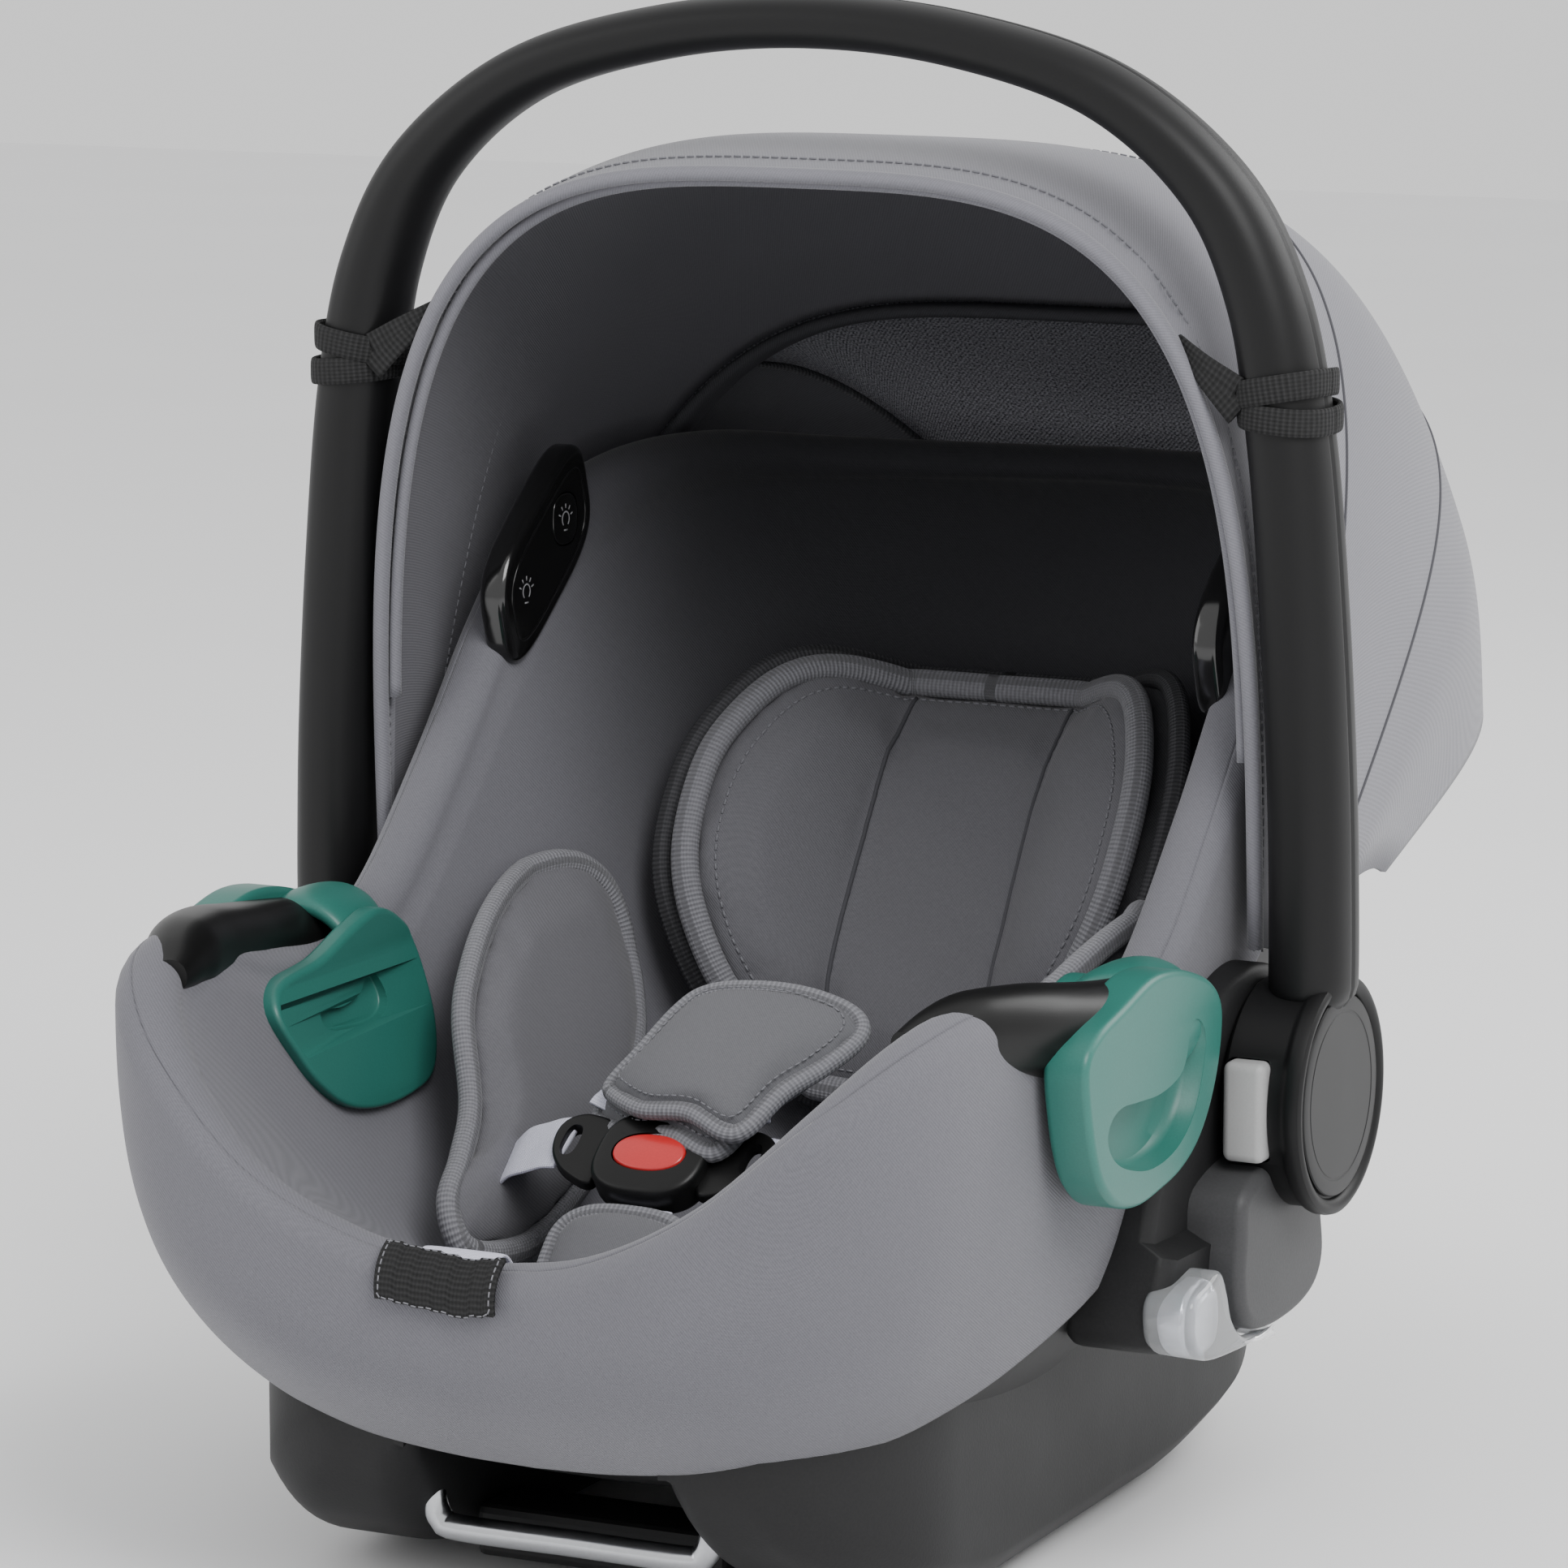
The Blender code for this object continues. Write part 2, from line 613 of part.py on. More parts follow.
def make_handle():
    path = handle_path()
    side, deep = tube_sizes(path)
    rings = sweep(path, (0.0, 1.0, 0.0), deep, side, 16, 2.35)
    return loft("handle_tube", rings, own(HANDLE_MAT, "handle_tube"))


def make_hub(side, label):
    name = "handle_hub_" + label
    inner = side * HUB_INNER_X
    ring_start = side * 0.2150
    outer = side * HUB_OUTER_X
    hub = cylinder(name, (inner, 0, 0), (outer, 0, 0), 0.0430, own(HANDLE_MAT, name), 32)
    ring = cylinder("ring", (ring_start, 0, 0), (outer, 0, 0), HUB_RADIUS, HANDLE_MAT, 32, 0.0012)
    combine(hub, ring, "UNION")
    neck_path = [(side * 0.2095, 0.0, 0.020), (side * 0.2095, 0.0, 0.034),
                 (side * 0.2095, 0.0, 0.0468)]
    neck = loft("neck", sweep(neck_path, (0.0, 1.0, 0.0), 0.0200, 0.0125, 16, 2.35), HANDLE_MAT)
    combine(hub, neck, "UNION")
    recess = cylinder("recess", (side * 0.2196, 0, 0), (side * 0.230, 0, 0), CAP_RADIUS + 0.0006,
                      HANDLE_MAT, 32)
    cut(hub, recess)
    bore = cylinder("bore", (side * 0.180, 0, 0), (side * 0.2160, 0, 0), 0.0083, HANDLE_MAT)
    cut(hub, bore)
    x0, x1 = sorted((side * 0.1905, side * 0.2085))
    pocket = rounded_box("pocket", (x0, -0.060, -0.0196), (x1, -0.026, 0.0196), 0.003, HANDLE_MAT)
    cut(hub, pocket)
    cylinder("hub_cap_" + label, (side * 0.2200, 0, 0), (side * 0.2216, 0, 0), CAP_RADIUS,
             own(BLACK_MAT, "hub_cap_" + label), 32, 0.0005)
    x0, x1 = sorted((side * 0.1910, side * 0.2080))
    origin = (side * 0.1995, -0.040, 0.0)
    rounded_box("handle_button_" + label, (x0, -0.0470, -BUTTON_HALF_Z),
                (x1, -0.0310, BUTTON_HALF_Z), 0.0026,
                own(BUTTON_MAT, "handle_button_" + label), origin)


def make_loop(side, label):
    """Elastic band round the arm."""
    name = "elastic_loop_" + label
    centre_x = side * 0.1962
    rings = []
    profile = [(0.0006, -0.009), (0.0026, -0.008), (0.0026, 0.008), (0.0006, 0.009)]
    angle = np.linspace(0.0, 2 * math.pi, 24, endpoint=False)
    for a in angle:
        row = []
        for out, up in profile:
            c = math.copysign(abs(math.cos(a)) ** (2 / 2.35), math.cos(a))
            d = math.copysign(abs(math.sin(a)) ** (2 / 2.35), math.sin(a))
            x = centre_x + (0.0164 + out) * c - side * 0.19 * up
            row.append((x, (0.0202 + out) * d, 0.262 + up))
        rings.append(row)
    torus_loft(name, rings, own(ELASTIC_MAT, name))


# ---- belt horns and hooks ----
HOOK = [(-0.205, 0.040), (-0.197, 0.018), (-0.183, 0.003), (-0.167, -0.008), (-0.151, -0.0135),
        (-0.134, -0.016), (-0.116, -0.0145), (-0.098, -0.0115), (-0.084, -0.006), (-0.073, 0.003),
        (-0.066, 0.014), (-0.0595, 0.028), (-0.0575, 0.042), (-0.064, 0.051), (-0.078, 0.0585),
        (-0.096, 0.0645), (-0.113, 0.0675), (-0.128, 0.0690), (-0.134, 0.0650),
        (-0.125, 0.0600), (-0.108, 0.0560), (-0.0970, 0.0500), (-0.0930, 0.0400),
        (-0.0970, 0.0300), (-0.108, 0.0262), (-0.135, 0.0262), (-0.165, 0.0300),
        (-0.190, 0.0360)]
SLOT = [(-0.104, 0.0215), (-0.120, 0.0195), (-0.140, 0.0205), (-0.158, 0.0225), (-0.169, 0.0205),
        (-0.173, 0.0145), (-0.167, 0.0075), (-0.150, 0.0010), (-0.126, -0.0040),
        (-0.103, -0.0020), (-0.091, 0.0050), (-0.090, 0.0150)]


def make_hook(side, label):
    name = "belt_hook_" + label
    low, high = sorted((side * 0.1806, side * 0.1960))
    hook = prism_x(name, HOOK, low, high, own(GUIDE_MAT, name), 0.0012)
    low, high = sorted((side * 0.170, side * 0.21))
    slot = prism_x("slot", SLOT, low, high, GUIDE_MAT, 0.0)
    cut(hook, slot)
    return hook


def horn_rings(side, grow):
    path = spline([(side * 0.152, -0.222, 0.0595), (side * 0.160, -0.208, 0.0590),
                   (side * 0.171, -0.180, 0.0545), (side * 0.177, -0.150, 0.0490),
                   (side * 0.180, -0.126, 0.0455), (side * 0.1800, -0.1120, 0.0428)], 9)
    size = smooth_line((-0.222, -0.205, -0.17, -0.12, -0.10), (0.0035, 0.0075, 0.0100, 0.0108, 0.0108),
                       path[:, 1])
    return sweep(path, (1.0, 0.0, 0.0), size + grow, size * 1.05 + grow, 12, 2.1)


def make_horn(side, label):
    name = "belt_horn_" + label
    return loft(name, horn_rings(side, 0.0), own(BLACK_MAT, name))


def horn_cutter(side):
    rings = horn_rings(side, 0.0006)
    ahead = rings[-1] + (rings[-1] - rings[-2]) * 0.10
    behind = rings[0] + (rings[0] - rings[1]) * 0.10
    return loft("horn_cutter", np.concatenate([[behind], rings, [ahead]]), BLACK_MAT)


# ---- cushions laid on the seat ----
def disc_grid(outline, rows):
    """Concentric rings from the middle of an outline to its edge; outline is (u, v) pairs."""
    outline = np.asarray(outline, float)
    middle = outline.mean(axis=0)
    scale = np.linspace(0.0, 1.0, rows + 1)[1:] ** 0.8
    return np.array([middle + (outline - middle) * s for s in scale]), scale


def pad_solid(name, outline, place, thickness, edge, mat, origin=(0.0, 0.0, 0.0), rows=4):
    """Pillow over an outline; place(u, v, lift) gives the point in space."""
    grid, scale = disc_grid(outline, rows)
    top = np.zeros((*grid.shape[:2], 3))
    under = np.zeros_like(top)
    for i in range(grid.shape[0]):
        lift = edge + (thickness - edge) * math.sqrt(max(1.0 - scale[i] ** 4, 0.0))
        for j in range(grid.shape[1]):
            u, v = grid[i, j]
            top[i, j] = place(u, v, lift)
            under[i, j] = place(u, v, 0.0)
    return closed_bowl(name, top, under, mat, origin)


BACK_D = np.array([0.0, 0.561, 0.828])      # up the backrest
BACK_N = np.array([0.0, -0.828, 0.561])     # out of the backrest
BACK_0 = np.array([0.0, 0.1473, 0.0214])    # middle of the headrest
PANEL_HALF = 0.036                          # flat middle panel of the headrest
PANEL_TURN = 0.768                          # forward turn of its side panels, radians


def side_panel(x):
    """Place across, forward reach and turn of a point x metres along the folded headrest."""
    far = abs(x)
    bend = 0.024
    radius = bend / PANEL_TURN
    if far < PANEL_HALF:
        across, ahead, turn = far, 0.0, 0.0
    elif far < PANEL_HALF + bend:
        turn = (far - PANEL_HALF) / radius
        across = PANEL_HALF + radius * math.sin(turn)
        ahead = radius * (1.0 - math.cos(turn))
    else:
        turn = PANEL_TURN
        rest = far - PANEL_HALF - bend
        across = PANEL_HALF + radius * math.sin(turn) + rest * math.cos(turn)
        ahead = radius * (1.0 - math.cos(turn)) + rest * math.sin(turn)
    return math.copysign(across, x), ahead, math.copysign(turn, x)


def back_point(x, s, lift):
    """Point on the folded headrest: x along its width, s up the back, lift off its face."""
    across, ahead, turn = side_panel(x)
    face = BACK_N * math.cos(turn) - np.array([math.sin(turn), 0.0, 0.0])
    return BACK_0 + np.array([across, 0.0, 0.0]) + BACK_D * s + BACK_N * ahead + face * lift


def closed_line(pairs, count):
    """Evenly spaced points on a smooth closed outline."""
    first = [(0.0, a, b) for a, b in pairs]
    line = spline(first + first[:1], count + 1)[:-1]
    return [(p[1], p[2]) for p in line]


def shield_outline(width, top, bottom):
    """Half widths of the head support from its top edge to its rounded tip."""
    half = [(0.0, 0.096), (0.05, 0.0955), (0.088, 0.0905), (0.111, 0.077), (0.127, 0.052),
            (0.1345, 0.026), (0.133, -0.010), (0.120, -0.038), (0.095, -0.064), (0.055, -0.083),
            (0.0, -0.088)]
    scaled = [(x * width, s * (top if s > 0 else bottom)) for x, s in half]
    return scaled + [(-x, s) for x, s in scaled[1:-1]][::-1]


def make_headrest():
    origin = tuple(BACK_0)
    board = closed_line(shield_outline(1.030, 1.10, 1.0), 32)
    pad_solid("headrest_pad", board, back_point, 0.016, 0.008,
              own(LINING, "headrest_pad"), origin)
    insert = closed_line(shield_outline(1.0, 1.0, 1.0), 32)

    def insert_place(x, s, lift):
        return back_point(x, s, 0.0190 + lift)

    pad_solid("head_insert", insert, insert_place, 0.014, 0.005,
              own(FABRIC, "head_insert"), origin)


WING = [(-0.150, -0.060), (-0.1506, -0.0436), (-0.1281, -0.0307), (-0.1045, -0.0148),
        (-0.083, 0.013), (-0.062, 0.0282), (-0.0335, 0.0424), (-0.0023, 0.0520),
        (0.0260, 0.0550), (0.0450, 0.0500), (0.0560, 0.0380), (0.0580, 0.0200), (0.0500, 0.0020),
        (0.030, -0.018), (-0.010, -0.040), (-0.060, -0.056), (-0.110, -0.066)]


def make_wings(side, label, tree):
    """Side of the newborn insert, standing along the seat's flank."""
    name = "insert_wing_" + label

    def place(y, z, lift):
        hit = tree.ray_cast(Vector((0.0, y, z)), Vector((1.0, 0.0, 0.0)))[0]
        wall = hit.x if hit else 1.0
        x = min(0.066 + 0.525 * (z + 0.075), wall - 0.0045)
        return np.array([side * (x - 0.885 * lift), y, z + 0.465 * lift])

    pad_solid(name, closed_line(WING, 28), place, 0.010, 0.005, own(FABRIC, name))


def floor_height(tree, x, y):
    hit = tree.ray_cast(Vector((x, y, 0.5)), Vector((0.0, 0.0, -1.0)))
    return hit[0].z if hit[0] else 0.0


def lay_pad(name, outline, tree, lift, thickness, edge, mat, rows=4):
    """Pillow resting above the seating surface; outline is (x, y) pairs."""
    grid, scale = disc_grid(outline, rows)
    top = np.zeros((*grid.shape[:2], 3))
    under = np.zeros_like(top)
    for i in range(grid.shape[0]):
        high = edge + (thickness - edge) * math.sqrt(max(1.0 - scale[i] ** 4, 0.0))
        for j in range(grid.shape[1]):
            x, y = grid[i, j]
            z = floor_height(tree, x, y)
            ahead = floor_height(tree, x, y + 0.004) - floor_height(tree, x, y - 0.004)
            slope = Vector((0.0, -ahead, 0.008)).normalized()
            under[i, j] = Vector((x, y, z)) + slope * lift
            top[i, j] = Vector((x, y, z)) + slope * (lift + high)
    return closed_bowl(name, top, under, mat)


def round_outline(centre, half_x, half_y, power, count=24):
    pairs = []
    for k in range(count):
        a = 2 * math.pi * k / count
        c = math.cos(a)
        d = math.sin(a)
        pairs.append((centre[0] + half_x * math.copysign(abs(c) ** (2 / power), c),
                      centre[1] + half_y * math.copysign(abs(d) ** (2 / power), d)))
    return pairs


def ribbon(name, path, side, half_width, half_thick, mat, origin=(0.0, 0.0, 0.0), count=9):
    """Flat strap along a path."""
    points = spline(path, count)
    return loft(name, sweep(points, side, half_width, half_thick, 8, 5.0), mat, origin)


def build_seat():
    shell = make_shell()
    liner = make_liner()
    cover = make_cover()
    apron = make_apron()
    under_trees = (solid_tree(shell), solid_tree(apron))
    floor_tree = solid_tree(cover)
    for side, label in ((-1, "left"), (1, "right")):
        make_runner(side, label, under_trees)
        make_bracket(side, label)
        make_hub(side, label)
        make_loop(side, label)
        make_horn(side, label)
        make_hook(side, label)
        make_wings(side, label, floor_tree)
        for body in (cover, apron, shell):
            cut(body, horn_cutter(side))
            keep_largest(body)
    make_bars()
    make_handle()
    make_headrest()
    return shell, liner, cover, apron, floor_tree


SHELL, LINER, COVER, APRON, FLOOR = build_seat()


# ---- newborn insert, harness and buckle ----
def make_harness(tree):
    base = round_outline((0.0, -0.112), 0.052, 0.064, 3.2)
    lay_pad("seat_insert", base, tree, 0.0024, 0.0075, 0.004, own(FABRIC, "seat_insert"))
    ribbon("crotch_strap", [(0.0, -0.1772, -0.0629), (0.0, -0.1660, -0.0515), (0.0, -0.1548, -0.0401),
                            (0.0, -0.1515, -0.0368)],
           (1.0, 0.0, 0.0), 0.0150, 0.0008, own(STRAP_MAT, "crotch_strap"), count=6)
    pad = round_outline((0.0, 0.0), 0.026, 0.0165, 4.0)

    def pad_place(u, v, lift):
        ahead = np.array([0.0, 0.70, 0.71])
        up = np.array([0.0, -0.71, 0.70])
        return np.array([u, -0.166, -0.0515]) + ahead * v + up * (0.0016 + lift)

    pad_solid("crotch_pad", pad, pad_place, 0.008, 0.003, own(BINDING, "crotch_pad"))


def buckle_point(u, v, lift):
    """Buckle plane: u across, v up the child, lift towards the child's front."""
    up = np.array([0.0, 0.80, 0.60])
    out = np.array([0.0, -0.60, 0.80])
    return np.array([0.0, -0.134, -0.021]) + np.array([u, 0.0, 0.0]) + up * v + out * lift


def plate(name, outline, low, high, mat, origin=(0.0, 0.0, 0.0), ease=0.0012):
    """Flat piece in the buckle plane with eased edges."""
    middle = np.asarray(outline, float).mean(axis=0)
    rings = []
    for lift, inset in ((low, ease), (low + ease, 0.0), (high - ease, 0.0), (high, ease)):
        ring = []
        for u, v in outline:
            away = np.array([u, v]) - middle
            size = max(np.linalg.norm(away), 1e-6)
            u2, v2 = middle + away * (1.0 - inset / size)
            ring.append(buckle_point(u2, v2, lift))
        rings.append(ring)
    return loft(name, rings, mat, origin)


def make_buckle():
    body = round_outline((0.0, 0.0), 0.0225, 0.0200, 3.0)
    housing = plate("buckle_housing", body, -0.0065, 0.0075, own(BLACK_MAT, "buckle_housing"))
    well = plate("well", round_outline((0.0, -0.0010), 0.0152, 0.0092, 2.4), 0.0005, 0.012,
                 BLACK_MAT, ease=0.0)
    cut(housing, well)
    origin = tuple(buckle_point(0.0, -0.0010, 0.0040))
    plate("buckle_button", round_outline((0.0, -0.0010), 0.0147, 0.0087, 2.4), 0.0032, 0.0088,
          own(RED_MAT, "buckle_button"), origin, 0.0010)
    for side, label in ((-1, "left"), (1, "right")):
        tongue = [(side * u, v) for u, v in
                  ((0.0232, -0.010), (0.034, -0.009), (0.043, 0.000), (0.045, 0.010),
                   (0.041, 0.016), (0.033, 0.018), (0.0240, 0.013))]
        name = "buckle_tongue_" + label
        plate(name, tongue, -0.0035, 0.0015, own(BLACK_MAT, name))
        path = [buckle_point(side * 0.036, 0.0215, -0.0010),
                buckle_point(side * 0.037, 0.038, -0.0040),
                buckle_point(side * 0.038, 0.060, -0.0065),
                buckle_point(side * 0.039, 0.090, -0.0075)]
        name = "shoulder_strap_" + label
        ribbon(name, path, (1.0, 0.0, 0.0), 0.0145, 0.0008, own(STRAP_MAT, name))
        path = [(side * 0.0480, -0.1250, -0.0190), (side * 0.0560, -0.1220, -0.0215),
                (side * 0.0640, -0.1180, -0.0235)]
        name = "lap_strap_" + label
        ribbon(name, path, (0.0, 0.80, 0.60), 0.0125, 0.0008, own(STRAP_MAT, name), count=5)


def make_shoulder_pads():
    for side, label, lift0, u0, v0, tilt in ((-1, "left", 0.0045, -0.030, 0.052, 0.16),
                                             (1, "right", 0.0045, 0.030, 0.052, -0.16)):
        outline = round_outline((0.0, 0.0), 0.0265, 0.034, 4.2)

        def place(u, v, lift):
            turned_u = u * math.cos(tilt) - v * math.sin(tilt) + u0
            turned_v = u * math.sin(tilt) + v * math.cos(tilt) + v0
            bow = -2.0 * v * v
            return buckle_point(turned_u, turned_v, lift0 + lift + bow)

        name = "shoulder_pad_" + label
        pad_solid(name, outline, place, 0.010, 0.004, own(BINDING, name))


def make_adjuster(tree):
    path = []
    for y in (-0.205, -0.225, -0.245, -0.262):
        path.append((0.0, y, floor_height(tree, 0.0, y) + 0.0030))
    ribbon("adjuster_strap", path, (1.0, 0.0, 0.0), 0.0150, 0.0008,
           own(STRAP_MAT, "adjuster_strap"), count=6)
    top = []
    under = []
    for x in np.linspace(-0.024, 0.024, 5):
        row_top = []
        row_under = []
        for turn in np.linspace(math.radians(78.0), math.radians(-4.0), 7):
            centre = RIM[0]
            near = np.argmin(np.hypot(RIM[:, 0] - x, (RIM[:, 1] - centre[1]) * 0.2))
            base = RIM[near].copy()
            base[0] = x
            out = np.array([0.0, -1.0, 0.0])
            for rows, radius in ((row_top, LIP + 0.0052), (row_under, LIP + 0.0034)):
                rows.append(base + out * radius * math.cos(turn)
                            + np.array([0.0, 0.0, 1.0]) * radius * math.sin(turn))
        top.append(row_top)
        under.append(row_under)
    sheet_solid("strap_patch", top, under, own(ELASTIC_MAT, "strap_patch"))
    housing = rounded_box("adjuster_housing", (-0.019, -0.205, -0.1040), (0.019, -0.176, -0.0930),
                          0.002, own(SHELL_MAT, "adjuster_housing"))
    cut(housing, rounded_box("pocket", (-0.0105, -0.1985, -0.1000), (0.0105, -0.1825, -0.080),
                             0.001, SHELL_MAT))
    rounded_box("adjuster_button", (-0.0100, -0.1980, -0.0970), (0.0100, -0.1830, -0.0905), 0.001,
                own(BUTTON_MAT, "adjuster_button"), (0.0, -0.1905, -0.0935))


# ---- light panels ----
def panel_outline(grow):
    middle = np.array([0.064, 0.1760])
    along = np.array([0.80, 0.60])
    across = np.array([-0.30, 0.954])
    pairs = []
    for k in range(20):
        a = 2 * math.pi * k / 20
        c = math.cos(a)
        d = math.sin(a)
        u = (0.045 + grow) * math.copysign(abs(c) ** 0.55, c)
        v = (0.0245 + grow) * math.copysign(abs(d) ** 0.55, d)
        pairs.append(tuple(middle + along * u + across * v))
    return pairs


def make_light(side, label):
    low, high = sorted((side * 0.1480, side * 0.1600))
    name = "light_panel_" + label
    panel = prism_x(name, panel_outline(0.0), low, high, own(BLACK_MAT, name), 0.0025)
    key_pairs = [(y, z) for y, z in round_outline((0.078, 0.1885), 0.0105, 0.0105, 2.6, 16)]
    low, high = sorted((side * 0.1400, side * 0.1515))
    well = prism_x("well", round_outline((0.078, 0.1885), 0.0109, 0.0109, 2.6, 16), low, high,
                   BLACK_MAT, 0.0)
    cut(panel, well)
    low, high = sorted((side * 0.1474, side * 0.1500))
    name = "light_key_" + label
    prism_x(name, key_pairs, low, high, own(BLACK_MAT, name), 0.0004,
            (side * 0.1487, 0.078, 0.1885))
    low, high = sorted((side * 0.1474, side * 0.1606))
    for body in (COVER, APRON, SHELL):
        cut(body, prism_x("recess", panel_outline(0.0006), low, high, BLACK_MAT, 0.0))
        keep_largest(body)


# ---- canopy ----
def canopy_point(turn, arch, inset):
    """turn 0 at the visor, 1 at the rear; arch 0 left hem, 1 right hem."""
    degrees = CANOPY_FRONT_DEG + (CANOPY_REAR_DEG - CANOPY_FRONT_DEG) * turn
    crown = float(smooth_line((0.0, 0.25, 0.5, 0.8, 1.0), (0.3415, 0.3640, 0.3780, 0.3860, 0.3780),
                              turn)) - inset
    half = float(smooth_line((0.0, 0.3, 0.8, 1.0), (0.1885, 0.1890, 0.1850, 0.1740), turn)) - inset
    hem = float(smooth_line((0.0, 0.3, 0.55, 0.8, 1.0), (0.0540, 0.0520, 0.0720, 0.1150, 0.1800),
                            turn))
    power = 3.4 + 1.4 * turn
    angle = math.pi * arch
    side = math.copysign(abs(math.cos(angle)) ** (2 / power), -math.cos(angle))
    rise = abs(math.sin(angle)) ** (2 / power)
    radius = hem + (crown - hem) * rise
    a = math.radians(degrees)
    return (half * side, radius * math.sin(a), radius * math.cos(a))


def canopy_grid(inset):
    grid = []
    for turn in np.linspace(0.0, 1.0, 11):
        row = []
        for k in range(29):
            arch = 0.5 - 0.5 * math.cos(math.pi * k / 28)
            arch = 0.35 * arch + 0.65 * k / 28
            row.append(canopy_point(turn, arch, inset))
        grid.append(row)
    return np.array(grid)


def make_canopy():
    sheet_solid("canopy_fabric", canopy_grid(0.0), canopy_grid(SKIN), own(FABRIC, "canopy_fabric"))
    path = [canopy_point(0.016, k / 28.0, SKIN + 0.0036) for k in range(1, 28)]
    path = [(x, y, max(z, 0.050)) for x, y, z in path]
    rings = sweep(path, (0.0, 1.0, 0.0), 0.0022, 0.0022, 6, 2.0)
    loft("canopy_hoop", rings, own(BLACK_MAT, "canopy_hoop"))


# ---- release lever for a vehicle base ----
def make_release():
    housing = rounded_box("release_housing", (-0.0505, 0.150, -0.147), (0.0505, 0.186, -0.1225), 0.003,
                          own(SHELL_MAT, "release_housing"))
    slot = rounded_box("slot", (-0.040, 0.164, -0.153), (0.040, 0.196, -0.1300), 0.002, SHELL_MAT)
    cut(housing, slot)
    rounded_box("base_release_lever", (-0.0392, 0.1780, -0.1450), (0.0392, 0.1960, -0.1310), 0.003,
                own(BUTTON_MAT, "base_release_lever"), (0.0, 0.1870, -0.1380))


make_harness(FLOOR)
make_buckle()
make_shoulder_pads()
make_adjuster(FLOOR)
make_light(-1, "left")
make_light(1, "right")
make_canopy()
make_release()
print("objects", len(bpy.data.objects))
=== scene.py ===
import math

import bmesh
import bpy
import numpy as np
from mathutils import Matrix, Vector
from mathutils.bvhtree import BVHTree


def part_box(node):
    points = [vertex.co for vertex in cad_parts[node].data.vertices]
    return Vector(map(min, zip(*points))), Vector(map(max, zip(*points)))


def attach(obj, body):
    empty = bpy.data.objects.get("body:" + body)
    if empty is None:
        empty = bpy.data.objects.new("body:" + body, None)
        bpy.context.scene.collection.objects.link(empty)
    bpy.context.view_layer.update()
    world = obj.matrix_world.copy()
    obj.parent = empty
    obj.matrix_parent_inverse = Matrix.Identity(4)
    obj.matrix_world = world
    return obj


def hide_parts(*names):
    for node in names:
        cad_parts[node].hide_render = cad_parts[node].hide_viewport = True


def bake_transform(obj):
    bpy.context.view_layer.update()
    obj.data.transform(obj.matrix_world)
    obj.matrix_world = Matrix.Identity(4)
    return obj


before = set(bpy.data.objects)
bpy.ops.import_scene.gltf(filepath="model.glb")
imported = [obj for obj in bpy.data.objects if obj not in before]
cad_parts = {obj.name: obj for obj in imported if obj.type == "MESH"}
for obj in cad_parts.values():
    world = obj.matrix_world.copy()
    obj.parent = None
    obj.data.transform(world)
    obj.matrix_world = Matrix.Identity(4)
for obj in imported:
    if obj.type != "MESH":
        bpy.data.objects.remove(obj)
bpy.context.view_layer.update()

# the handle's pivot axis, read from the hub covers of the frame
capLow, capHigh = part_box("hub_cap_right")
pivotY = (capLow.y + capHigh.y) / 2
pivotZ = (capLow.z + capHigh.z) / 2
pivot = np.array([0.0, pivotY, pivotZ])
print("frame loaded, pivot at", round(pivotY, 4), round(pivotZ, 4))


# shader groups

def newGroup(name, inputs, outputs):
    group = bpy.data.node_groups.new(name, "ShaderNodeTree")
    for label, kind, value in inputs:
        socket = group.interface.new_socket(name=label, in_out="INPUT", socket_type=kind)
        if value is not None:
            socket.default_value = value
    for label, kind in outputs:
        group.interface.new_socket(name=label, in_out="OUTPUT", socket_type=kind)
    start = group.nodes.new("NodeGroupInput")
    end = group.nodes.new("NodeGroupOutput")
    return group, start, end


def calc(tree, operation, first, second=None, third=None):
    node = tree.nodes.new("ShaderNodeMath")
    node.operation = operation
    for place, value in enumerate((first, second, third)):
        if value is None:
            continue
        if isinstance(value, (int, float)):
            node.inputs[place].default_value = value
        else:
            tree.links.new(value, node.inputs[place])
    return node.outputs[0]


